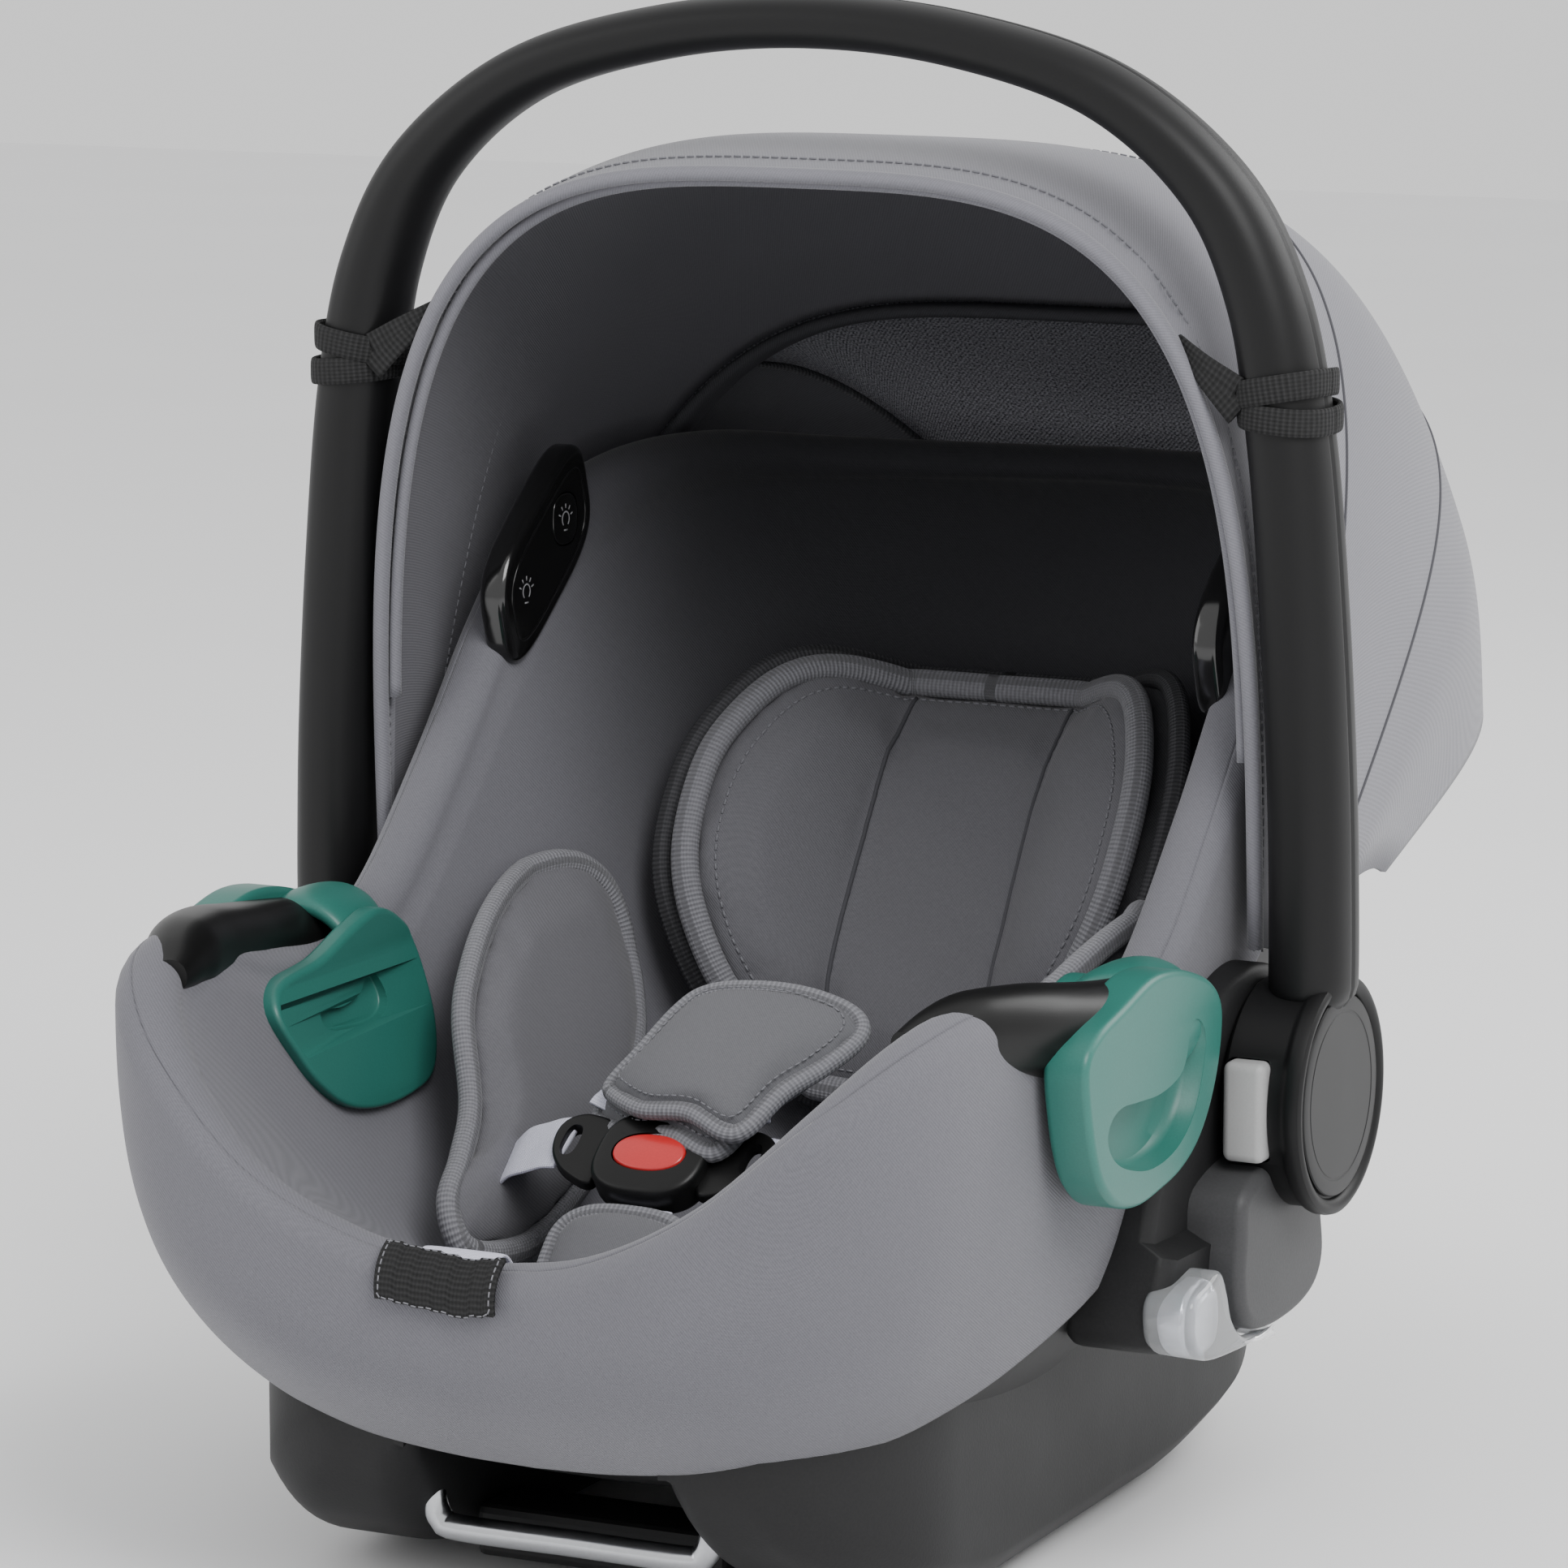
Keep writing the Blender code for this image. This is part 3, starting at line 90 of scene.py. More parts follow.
def makeWeaveGroup():
    # twill ridges that run diagonally over the cloth, with heathered yarn
    group, start, end = newGroup(
        "twillWeave",
        [("Vector", "NodeSocketVector", None), ("Ridge", "NodeSocketFloat", 0.0011),
         ("Slant", "NodeSocketFloat", 0.55), ("Heather", "NodeSocketFloat", 0.5)],
        [("Height", "NodeSocketFloat"), ("Tone", "NodeSocketFloat")])
    split = group.nodes.new("ShaderNodeSeparateXYZ")
    group.links.new(start.outputs["Vector"], split.inputs[0])
    slanted = calc(group, "MULTIPLY", split.outputs["Y"], start.outputs["Slant"])
    flat = calc(group, "ADD", split.outputs["X"], slanted)
    flat = calc(group, "ADD", flat, calc(group, "MULTIPLY", split.outputs["Z"], 0.85))
    turns = calc(group, "MULTIPLY", calc(group, "DIVIDE", flat, start.outputs["Ridge"]), 6.2832)
    ridge = calc(group, "MULTIPLY_ADD", calc(group, "SINE", turns), 0.5, 0.5)
    across = calc(group, "SUBTRACT", split.outputs["Y"],
                  calc(group, "MULTIPLY", split.outputs["X"], 0.4))
    across = calc(group, "SUBTRACT", across, calc(group, "MULTIPLY", split.outputs["Z"], 0.3))
    knots = calc(group, "MULTIPLY", calc(group, "DIVIDE", across, start.outputs["Ridge"]), 9.4)
    knots = calc(group, "MULTIPLY_ADD", calc(group, "SINE", knots), 0.5, 0.5)
    height = calc(group, "ADD", calc(group, "MULTIPLY", ridge, 0.75),
                  calc(group, "MULTIPLY", knots, 0.25))
    yarn = group.nodes.new("ShaderNodeTexNoise")
    yarn.inputs["Scale"].default_value = 900.0
    yarn.inputs["Detail"].default_value = 3.0
    group.links.new(start.outputs["Vector"], yarn.inputs["Vector"])
    broad = group.nodes.new("ShaderNodeTexNoise")
    broad.inputs["Scale"].default_value = 14.0
    broad.inputs["Detail"].default_value = 2.0
    group.links.new(start.outputs["Vector"], broad.inputs["Vector"])
    speck = calc(group, "SUBTRACT", yarn.outputs["Fac"], 0.5)
    speck = calc(group, "MULTIPLY", speck, start.outputs["Heather"])
    soft = calc(group, "MULTIPLY", calc(group, "SUBTRACT", broad.outputs["Fac"], 0.5), 0.25)
    tone = calc(group, "ADD", calc(group, "MULTIPLY", height, 0.45), 0.28)
    tone = calc(group, "ADD", calc(group, "ADD", tone, speck), soft)
    group.links.new(height, end.inputs["Height"])
    group.links.new(tone, end.inputs["Tone"])
    return group


def makeRibGroup():
    # ribs across a tape, read along U
    group, start, end = newGroup(
        "tapeRibs",
        [("Vector", "NodeSocketVector", None), ("Pitch", "NodeSocketFloat", 0.0016),
         ("Cross", "NodeSocketFloat", 0.3)],
        [("Height", "NodeSocketFloat"), ("Tone", "NodeSocketFloat")])
    split = group.nodes.new("ShaderNodeSeparateXYZ")
    group.links.new(start.outputs["Vector"], split.inputs[0])
    along = calc(group, "MULTIPLY",
                 calc(group, "DIVIDE", split.outputs["X"], start.outputs["Pitch"]), 6.2832)
    ribs = calc(group, "MULTIPLY_ADD", calc(group, "SINE", along), 0.5, 0.5)
    over = calc(group, "MULTIPLY",
                calc(group, "DIVIDE", split.outputs["Y"], start.outputs["Pitch"]), 9.0)
    threads = calc(group, "MULTIPLY_ADD", calc(group, "SINE", over), 0.5, 0.5)
    height = calc(group, "ADD", ribs, calc(group, "MULTIPLY", threads, start.outputs["Cross"]))
    height = calc(group, "MULTIPLY", height, 0.75)
    noise = group.nodes.new("ShaderNodeTexNoise")
    noise.inputs["Scale"].default_value = 500.0
    group.links.new(start.outputs["Vector"], noise.inputs["Vector"])
    tone = calc(group, "ADD", calc(group, "MULTIPLY", height, 0.5),
                calc(group, "MULTIPLY", noise.outputs["Fac"], 0.4))
    group.links.new(height, end.inputs["Height"])
    group.links.new(tone, end.inputs["Tone"])
    return group


def makeGrainGroup():
    # moulded plastic grain with faint handling marks
    group, start, end = newGroup(
        "plasticGrain",
        [("Vector", "NodeSocketVector", None), ("Size", "NodeSocketFloat", 1400.0),
         ("Marks", "NodeSocketFloat", 0.15)],
        [("Height", "NodeSocketFloat"), ("Tone", "NodeSocketFloat"),
         ("Rough", "NodeSocketFloat")])
    grain = group.nodes.new("ShaderNodeTexNoise")
    grain.inputs["Detail"].default_value = 2.0
    group.links.new(start.outputs["Vector"], grain.inputs["Vector"])
    group.links.new(start.outputs["Size"], grain.inputs["Scale"])
    marks = group.nodes.new("ShaderNodeTexNoise")
    marks.inputs["Scale"].default_value = 22.0
    marks.inputs["Detail"].default_value = 5.0
    group.links.new(start.outputs["Vector"], marks.inputs["Vector"])
    wear = calc(group, "MULTIPLY", calc(group, "SUBTRACT", marks.outputs["Fac"], 0.5),
                start.outputs["Marks"])
    group.links.new(grain.outputs["Fac"], end.inputs["Height"])
    group.links.new(calc(group, "ADD", calc(group, "MULTIPLY", grain.outputs["Fac"], 0.5),
                         calc(group, "MULTIPLY", wear, 2.0)), end.inputs["Tone"])
    group.links.new(wear, end.inputs["Rough"])
    return group


weaveGroup = makeWeaveGroup()
ribGroup = makeRibGroup()
grainGroup = makeGrainGroup()


def shaded(name, group, values, darkColor, lightColor, roughness, bump, bumpDepth,
           source="UV", sheen=0.0, coat=0.0, metallic=0.0, specular=0.5):
    # one material: a group's tone picks between two colours and its height feeds a bump
    mat = bpy.data.materials.new(name)
    mat.use_nodes = True
    tree = mat.node_tree
    shader = tree.nodes["Principled BSDF"]
    shader.inputs["Roughness"].default_value = roughness
    shader.inputs["Metallic"].default_value = metallic
    shader.inputs["Specular IOR Level"].default_value = specular
    if sheen:
        shader.inputs["Sheen Weight"].default_value = sheen
        shader.inputs["Sheen Roughness"].default_value = 0.45
    if coat:
        shader.inputs["Coat Weight"].default_value = coat
        shader.inputs["Coat Roughness"].default_value = 0.12
    coords = tree.nodes.new("ShaderNodeTexCoord")
    node = tree.nodes.new("ShaderNodeGroup")
    node.node_tree = group
    for label, value in values.items():
        node.inputs[label].default_value = value
    tree.links.new(coords.outputs[source], node.inputs["Vector"])
    ramp = tree.nodes.new("ShaderNodeMix")
    ramp.data_type = "RGBA"
    ramp.inputs["A"].default_value = (*darkColor, 1.0)
    ramp.inputs["B"].default_value = (*lightColor, 1.0)
    tree.links.new(node.outputs["Tone"], ramp.inputs["Factor"])
    tree.links.new(ramp.outputs["Result"], shader.inputs["Base Color"])
    raised = tree.nodes.new("ShaderNodeBump")
    raised.inputs["Strength"].default_value = bump
    raised.inputs["Distance"].default_value = bumpDepth
    tree.links.new(node.outputs["Height"], raised.inputs["Height"])
    tree.links.new(raised.outputs["Normal"], shader.inputs["Normal"])
    if "Rough" in node.outputs:
        rough = tree.nodes.new("ShaderNodeMath")
        rough.operation = "ADD"
        rough.inputs[0].default_value = roughness
        tree.links.new(node.outputs["Rough"], rough.inputs[1])
        tree.links.new(rough.outputs[0], shader.inputs["Roughness"])
    return mat


def paintShadeBehind(mat, start, end, share):
    # painted shade: the cloth's base colour darkens between two depths towards the back, standing
    # in for the shadow that falls over the seat's rear inside
    tree = mat.node_tree
    shader = tree.nodes["Principled BSDF"]
    source = shader.inputs["Base Color"].links[0].from_socket
    coords = tree.nodes.new("ShaderNodeTexCoord")
    split = tree.nodes.new("ShaderNodeSeparateXYZ")
    tree.links.new(coords.outputs["Object"], split.inputs[0])
    depth = tree.nodes.new("ShaderNodeMapRange")
    depth.interpolation_type = "SMOOTHSTEP"
    depth.inputs["From Min"].default_value = start
    depth.inputs["From Max"].default_value = end
    depth.inputs["To Min"].default_value = 1.0
    depth.inputs["To Max"].default_value = share
    tree.links.new(split.outputs["Y"], depth.inputs["Value"])
    scaled = tree.nodes.new("ShaderNodeVectorMath")
    scaled.operation = "SCALE"
    tree.links.new(source, scaled.inputs[0])
    tree.links.new(depth.outputs["Result"], scaled.inputs["Scale"])
    tree.links.new(scaled.outputs["Vector"], shader.inputs["Base Color"])


clothLook = {"Ridge": 0.0012, "Slant": 0.55, "Heather": 0.55}
fabricSolidMat = shaded("greyTwillPads", weaveGroup, clothLook, (0.112, 0.111, 0.125),
                        (0.182, 0.180, 0.202), 0.92, 0.35, 0.0004, "Object", sheen=0.2,
                        specular=0.2)
coverMat = shaded("greyTwillCover", weaveGroup, clothLook, (0.112, 0.111, 0.125),
                  (0.182, 0.180, 0.202), 0.92, 0.35, 0.0004, "Object", sheen=0.2, specular=0.2)
# painted shade: the cover's colour darkens towards the head end, where shadow falls inside the
# seat
paintShadeBehind(coverMat, pivotY + 0.02, pivotY + 0.22, 0.30)
canopyMat = shaded("greyCanopyTwill", weaveGroup, clothLook, (0.146, 0.145, 0.163),
                   (0.234, 0.232, 0.260), 0.9, 0.3, 0.0004, sheen=0.3, specular=0.2)
liningMat = shaded("canopyLining", weaveGroup, clothLook, (0.105, 0.104, 0.116),
                   (0.172, 0.170, 0.188), 0.95, 0.3, 0.0004, sheen=0.1, specular=0.15)
meshMat = shaded("speckledMesh", weaveGroup, {"Ridge": 0.0022, "Slant": 1.0, "Heather": 2.6},
                 (0.040, 0.040, 0.045), (0.250, 0.250, 0.275), 0.95, 0.5, 0.0006, specular=0.15)
headrestMat = shaded("headrestCloth", weaveGroup, clothLook, (0.050, 0.050, 0.055),
                     (0.110, 0.110, 0.118), 0.95, 0.3, 0.0004, "Object", specular=0.15)
bindingMat = shaded("ribbedBinding", ribGroup, {"Pitch": 0.0019, "Cross": 0.35},
                    (0.105, 0.105, 0.115), (0.300, 0.300, 0.325), 0.85, 0.8, 0.0006,
                    sheen=0.15, specular=0.2)
padMat = shaded("padCloth", weaveGroup, {"Ridge": 0.001, "Slant": 0.4, "Heather": 0.5},
                (0.100, 0.100, 0.108), (0.165, 0.165, 0.178), 0.9, 0.3, 0.0003, "Object",
                sheen=0.15, specular=0.2)
webbingMat = shaded("paleWebbing", ribGroup, {"Pitch": 0.0013, "Cross": 0.8},
                    (0.50, 0.50, 0.62), (0.78, 0.78, 0.90), 0.75, 0.6, 0.0004, sheen=0.2,
                    specular=0.25)
darkBindingMat = shaded("darkBinding", ribGroup, {"Pitch": 0.0019, "Cross": 0.35},
                        (0.030, 0.030, 0.033), (0.105, 0.105, 0.112), 0.9, 0.8, 0.0006,
                        specular=0.2)
insertMat = shaded("insertCloth", weaveGroup, {"Ridge": 0.0012, "Slant": 0.55, "Heather": 0.6},
                   (0.098, 0.097, 0.107), (0.160, 0.158, 0.174), 0.92, 0.35, 0.0004, "Object",
                   sheen=0.2, specular=0.2)
rearLiningMat = shaded("rearLining", weaveGroup, clothLook, (0.046, 0.046, 0.051),
                       (0.088, 0.088, 0.096), 0.95, 0.3, 0.0004, specular=0.12)
elasticMat = shaded("blackElastic", ribGroup, {"Pitch": 0.0022, "Cross": 0.5},
                    (0.006, 0.006, 0.006), (0.035, 0.035, 0.036), 0.8, 0.9, 0.0007,
                    specular=0.25)
handleMat = shaded("handlePlastic", grainGroup, {"Size": 1500.0, "Marks": 0.10},
                   (0.0045, 0.0045, 0.0048), (0.010, 0.010, 0.0105), 0.45, 0.10, 0.0002,
                   "Object", specular=0.28)
shellMat = shaded("shellPlastic", grainGroup, {"Size": 900.0, "Marks": 0.12},
                  (0.010, 0.010, 0.0105), (0.024, 0.024, 0.025), 0.52, 0.22, 0.0003, "Object",
                  specular=0.28)
bracketMat = shaded("bracketPlastic", grainGroup, {"Size": 1000.0, "Marks": 0.12},
                    (0.045, 0.045, 0.047), (0.085, 0.085, 0.088), 0.5, 0.2, 0.0003, "Object",
                    specular=0.3)
blackMat = shaded("blackPlastic", grainGroup, {"Size": 1500.0, "Marks": 0.08},
                  (0.004, 0.004, 0.004), (0.009, 0.009, 0.009), 0.36, 0.10, 0.0002, "Object",
                  specular=0.3)
glossMat = shaded("glossyBlack", grainGroup, {"Size": 2000.0, "Marks": 0.05},
                  (0.004, 0.004, 0.004), (0.008, 0.008, 0.008), 0.14, 0.03, 0.0001, "Object",
                  coat=0.6)
hookMat = shaded("hookGreen", grainGroup, {"Size": 1300.0, "Marks": 0.10},
                 (0.018, 0.125, 0.100), (0.035, 0.200, 0.165), 0.38, 0.10, 0.0002, "Object")
buttonMat = shaded("buttonGrey", grainGroup, {"Size": 1300.0, "Marks": 0.10},
                   (0.33, 0.33, 0.33), (0.46, 0.46, 0.46), 0.45, 0.12, 0.0002, "Object")
redMat = shaded("buttonRed", grainGroup, {"Size": 1300.0, "Marks": 0.08},
                (0.50, 0.018, 0.020), (0.72, 0.035, 0.035), 0.30, 0.08, 0.0002, "Object",
                coat=0.3)
steelMat = shaded("brushedSteel", grainGroup, {"Size": 700.0, "Marks": 0.2},
                  (0.52, 0.53, 0.55), (0.70, 0.71, 0.73), 0.22, 0.06, 0.0002, "Object",
                  metallic=1.0)
foamMat = shaded("linerFoam", grainGroup, {"Size": 420.0, "Marks": 0.2},
                 (0.60, 0.60, 0.59), (0.82, 0.82, 0.81), 0.9, 0.6, 0.0006, "Object")
threadMat = shaded("stitchThread", grainGroup, {"Size": 2500.0, "Marks": 0.1},
                   (0.15, 0.15, 0.165), (0.26, 0.26, 0.285), 0.8, 0.2, 0.0002, "Object")
seamMat = shaded("seamShadow", grainGroup, {"Size": 2500.0, "Marks": 0.1},
                 (0.055, 0.055, 0.062), (0.10, 0.10, 0.112), 0.95, 0.2, 0.0002, "Object")
printMat = shaded("printedGrey", grainGroup, {"Size": 2500.0, "Marks": 0.1},
                  (0.25, 0.25, 0.26), (0.38, 0.38, 0.40), 0.6, 0.1, 0.0001, "Object")


def makeLensMat():
    mat = bpy.data.materials.new("clearLens")
    mat.use_nodes = True
    tree = mat.node_tree
    shader = tree.nodes["Principled BSDF"]
    shader.inputs["Roughness"].default_value = 0.06
    shader.inputs["Transmission Weight"].default_value = 0.75
    shader.inputs["IOR"].default_value = 1.46
    coords = tree.nodes.new("ShaderNodeTexCoord")
    noise = tree.nodes.new("ShaderNodeTexNoise")
    noise.inputs["Scale"].default_value = 160.0
    tree.links.new(coords.outputs["Object"], noise.inputs["Vector"])
    blend = tree.nodes.new("ShaderNodeMix")
    blend.data_type = "RGBA"
    blend.inputs["A"].default_value = (0.75, 0.78, 0.82, 1.0)
    blend.inputs["B"].default_value = (0.95, 0.96, 0.97, 1.0)
    tree.links.new(noise.outputs["Fac"], blend.inputs["Factor"])
    tree.links.new(blend.outputs["Result"], shader.inputs["Base Color"])
    return mat


lensMat = makeLensMat()
print("materials ready", len(bpy.data.materials))


# mesh helpers

def smoothLine(stations, values, at):
    # monotone cubic through the given values
    stations = np.asarray(stations, float)
    values = np.asarray(values, float)
    step = np.diff(stations)
    slope = np.diff(values) / step
    tangent = np.zeros(len(values))
    tangent[0] = slope[0]
    tangent[-1] = slope[-1]
    for k in range(1, len(values) - 1):
        if slope[k - 1] * slope[k] > 0.0:
            tangent[k] = 2.0 * slope[k - 1] * slope[k] / (slope[k - 1] + slope[k])
    at = np.clip(np.asarray(at, float), stations[0], stations[-1])
    cell = np.clip(np.searchsorted(stations, at, side="right") - 1, 0, len(step) - 1)
    u = (at - stations[cell]) / step[cell]
    h = step[cell]
    first = values[cell] * (1 + 2 * u) * (1 - u) ** 2 + tangent[cell] * h * u * (1 - u) ** 2
    second = values[cell + 1] * u * u * (3 - 2 * u) + tangent[cell + 1] * h * u * u * (u - 1)
    return first + second


def spline(points, count, loop=False):
    points = np.asarray(points, float)
    if loop:
        points = np.vstack([points, points[:1]])
        ghost = np.vstack([points[-2], points, points[1]])
    else:
        ghost = np.vstack([2 * points[0] - points[1], points, 2 * points[-1] - points[-2]])
    chord = np.linalg.norm(np.diff(points, axis=0), axis=1)
    along = np.concatenate([[0.0], np.cumsum(np.sqrt(chord))])
    curve = []
    for value in np.linspace(0.0, along[-1], 500):
        k = min(np.searchsorted(along, value, side="right") - 1, len(points) - 2)
        u = (value - along[k]) / (along[k + 1] - along[k])
        p0, p1, p2, p3 = ghost[k:k + 4]
        curve.append(0.5 * (2 * p1 + (p2 - p0) * u + (2 * p0 - 5 * p1 + 4 * p2 - p3) * u * u
                            + (3 * p1 - p0 - 3 * p2 + p3) * u ** 3))
    curve = np.array(curve)
    length = np.concatenate([[0.0], np.cumsum(np.linalg.norm(np.diff(curve, axis=0), axis=1))])
    wanted = np.linspace(0.0, length[-1], count, endpoint=not loop)
    return np.stack([np.interp(wanted, length, curve[:, k]) for k in range(3)], axis=1)


def showPiece(name, mesh, mat=None):
    # puts a mesh in the scene with smooth faces; without mat it keeps its own materials
    obj = bpy.data.objects.new(name, mesh)
    bpy.context.scene.collection.objects.link(obj)
    if mat is not None:
        mesh.materials.clear()
        mesh.materials.append(mat)
    mesh.polygons.foreach_set("use_smooth", [True] * len(mesh.polygons))
    return obj


def finishPiece(name, mesh, mat, body, replaced=()):
    obj = showPiece(name, mesh, mat)
    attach(obj, body)
    if replaced:
        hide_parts(*replaced)
    return obj


def buildMesh(name, verts, faces, uvs=None):
    mesh = bpy.data.meshes.new(name)
    mesh.from_pydata([tuple(np.asarray(v) + pivot) for v in verts], [], faces)
    if uvs is not None:
        layer = mesh.uv_layers.new(name="cloth")
        picked = np.empty(len(mesh.loops), dtype=np.int64)
        mesh.loops.foreach_get("vertex_index", picked)
        layer.data.foreach_set("uv", np.asarray(uvs, float)[picked].ravel())
    work = bmesh.new()
    work.from_mesh(mesh)
    bmesh.ops.recalc_face_normals(work, faces=work.faces)
    work.to_mesh(mesh)
    work.free()
    return mesh


def ringFaces(rows, columns, wrap, first=0):
    faces = []
    for r in range(rows - 1):
        for c in range(columns if wrap else columns - 1):
            d = (c + 1) % columns
            low = first + r * columns
            faces.append((low + c, low + d, low + columns + d, low + columns + c))
    return faces


def clothUv(grid):
    # distances over the cloth in metres, along rows and columns
    across = np.linalg.norm(np.diff(grid, axis=1), axis=2)
    down = np.linalg.norm(np.diff(grid, axis=0), axis=2)
    u = np.concatenate([np.zeros((grid.shape[0], 1)), np.cumsum(across, axis=1)], axis=1)
    v = np.concatenate([np.zeros((1, grid.shape[1])), np.cumsum(down, axis=0)], axis=0)
    u = u - u[:, grid.shape[1] // 2:grid.shape[1] // 2 + 1]
    return np.stack([u, v], axis=2)


def shellMesh(name, top, under, wrap=False, capCentre=False):
    # closed cloth with two faces and its borders
    top = np.asarray(top, float)
    under = np.asarray(under, float)
    rows, columns = top.shape[:2]
    count = rows * columns
    faces = ringFaces(rows, columns, wrap)
    faces += [tuple(reversed(f)) for f in ringFaces(rows, columns, wrap, count)]
    last = (rows - 1) * columns
    border = []
    for c in range(columns if wrap else columns - 1):
        d = (c + 1) % columns
        if not capCentre:
            border.append((c, d))
        border.append((last + d, last + c))
    if not wrap:
        for r in range(rows - 1):
            border.append(((r + 1) * columns, r * columns))
            border.append((r * columns + columns - 1, (r + 1) * columns + columns - 1))
    faces += [(a, b, b + count, a + count) for a, b in border]
    if capCentre:
        faces.append(tuple(range(columns)))
        faces.append(tuple(count + c for c in reversed(range(columns))))
    verts = np.concatenate([top.reshape(-1, 3), under.reshape(-1, 3)])
    uv = clothUv(top).reshape(-1, 2)
    return buildMesh(name, verts, faces, np.concatenate([uv, uv]))


def loftMesh(name, rings, closed=False):
    rings = np.asarray(rings, float)
    rows, columns = rings.shape[:2]
    count = rows * columns
    faces = ringFaces(rows + 1 if closed else rows, columns, True)
    faces = [tuple(v % count for v in f) for f in faces]
    if not closed:
        faces.append(tuple(range(columns)))
        faces.append(tuple(range((rows - 1) * columns, count)))
    centre = rings.mean(axis=1)
    along = np.concatenate([[0.0], np.cumsum(np.linalg.norm(np.diff(centre, axis=0), axis=1))])
    around = np.linalg.norm(np.roll(rings[0], -1, axis=0) - rings[0], axis=1)
    girth = np.concatenate([[0.0], np.cumsum(around)[:-1]])
    uv = np.stack([np.repeat(along, columns), np.tile(girth, rows)], axis=1)
    return buildMesh(name, rings.reshape(-1, 3), faces, uv)


def section(halfA, halfB, count=24, power=2.4):
    angle = np.linspace(0.0, 2 * math.pi, count, endpoint=False)
    a = halfA * np.sign(np.cos(angle)) * np.abs(np.cos(angle)) ** (2 / power)
    b = halfB * np.sign(np.sin(angle)) * np.abs(np.sin(angle)) ** (2 / power)
    return np.stack([a, b], axis=1)


def sweep(path, side, halfSide, halfUp, count=16, power=2.4, closed=False):
    path = np.asarray(path, float)
    if closed:
        ahead = np.roll(path, -1, axis=0) - np.roll(path, 1, axis=0)
    else:
        ahead = np.gradient(path, axis=0)
    ahead /= np.maximum(np.linalg.norm(ahead, axis=1, keepdims=True), 1e-9)
    side = np.broadcast_to(np.asarray(side, float), path.shape)
    across = side - ahead * np.sum(side * ahead, axis=1, keepdims=True)
    across /= np.maximum(np.linalg.norm(across, axis=1, keepdims=True), 1e-9)
    up = np.cross(ahead, across)
    halfSide = np.broadcast_to(halfSide, len(path))
    halfUp = np.broadcast_to(halfUp, len(path))
    rings = []
    for k in range(len(path)):
        s = section(halfSide[k], halfUp[k], count, power)
        rings.append(path[k] + s[:, :1] * across[k] + s[:, 1:] * up[k])
    return np.array(rings)


def latheX(name, side, profile, count=96):
    # solid turned about the pivot axis; profile runs from the inner middle to the outer middle
    angle = np.linspace(0.0, 2 * math.pi, count, endpoint=False)
    rings = [[(side * x, r * math.cos(a), r * math.sin(a)) for a in angle] for x, r in profile]
    return loftMesh(name, rings)


def outlineSolid(name, outlines, xLow, xHigh, bevel, resolution=3):
    # filled outlines in Y and Z, given a thickness along X with rounded edges
    curve = bpy.data.curves.new(name, "CURVE")
    curve.dimensions = "2D"
    curve.fill_mode = "BOTH"
    curve.extrude = max((xHigh - xLow) / 2 - bevel, 0.0)
    curve.bevel_depth = bevel
    curve.bevel_resolution = resolution
    curve.offset = -bevel
    for outline in outlines:
        line = curve.splines.new("POLY")
        line.points.add(len(outline) - 1)
        for point, (y, z) in zip(line.points, outline):
            point.co = (y, z, 0.0, 1.0)
        line.use_cyclic_u = True
    holder = bpy.data.objects.new(name, curve)
    bpy.context.scene.collection.objects.link(holder)
    graph = bpy.context.evaluated_depsgraph_get()
    mesh = bpy.data.meshes.new_from_object(holder.evaluated_get(graph))
    bpy.data.objects.remove(holder)
    middle = (xLow + xHigh) / 2
    for v in mesh.vertices:
        y, z, x = v.co
        v.co = Vector((middle + x, y + pivotY, z + pivotZ))
    work = bmesh.new()
    work.from_mesh(mesh)
    bmesh.ops.remove_doubles(work, verts=work.verts, dist=1e-6)
    bmesh.ops.recalc_face_normals(work, faces=work.faces)
    work.to_mesh(mesh)
    work.free()
    return mesh


def creaseByAngle(obj, degrees=35.0):
    # hard corners stay crisp under smooth shading
    mesh = obj.data
    work = bmesh.new()
    work.from_mesh(mesh)
    limit = math.radians(degrees)
    for edge in work.edges:
        if len(edge.link_faces) == 2 and edge.calc_face_angle(0.0) > limit:
            edge.smooth = False
    work.to_mesh(mesh)
    work.free()


# seat surfaces, lengths from the pivot axis

rimLook = {"columns": 240, "skin": 0.003, "lip": 0.012, "wall": 0.004, "middleY": -0.03,
           "innerPower": 3.6, "outerPower": 2.6}
rimX = (0.0, 0.045, 0.088, 0.128, 0.153, 0.162, 0.164, 0.164, 0.164, 0.164, 0.164, 0.164,
        0.161, 0.150, 0.114, 0.058, 0.0)
rimY = (-0.272, -0.276, -0.280, -0.270, -0.243, -0.205, -0.150, -0.095, -0.050, 0.0, 0.045,
        0.090, 0.148, 0.214, 0.264, 0.292, 0.300)
rimZ = (-0.040, -0.032, -0.010, 0.026, 0.050, 0.056, 0.040, 0.034, 0.052, 0.098, 0.146, 0.180,
        0.196, 0.198, 0.192, 0.190, 0.190)
seatY = (-0.30, -0.262, -0.20, -0.13, -0.075, 0.0, 0.066, 0.112, 0.147, 0.229, 0.268, 0.288,
         0.32)
seatZ = (-0.046, -0.050, -0.072, -0.088, -0.0905, -0.092, -0.088, -0.072, -0.027, 0.085, 0.144,
         0.176, 0.190)
baseY = (-0.30, -0.22, -0.15, -0.05, 0.06, 0.14, 0.22, 0.29, 0.35)
baseZ = (-0.100, -0.134, -0.147, -0.150, -0.146, -0.122, -0.070, 0.010, 0.090)


def rimCurve():
    half = spline(np.stack([rimX, rimY, rimZ], axis=1), rimLook["columns"] // 2 + 1)
    half[0, 0] = 0.0
    half[-1, 0] = 0.0
    left = half[1:-1][::-1] * np.array([-1.0, 1.0, 1.0])
    return np.concatenate([half, left])


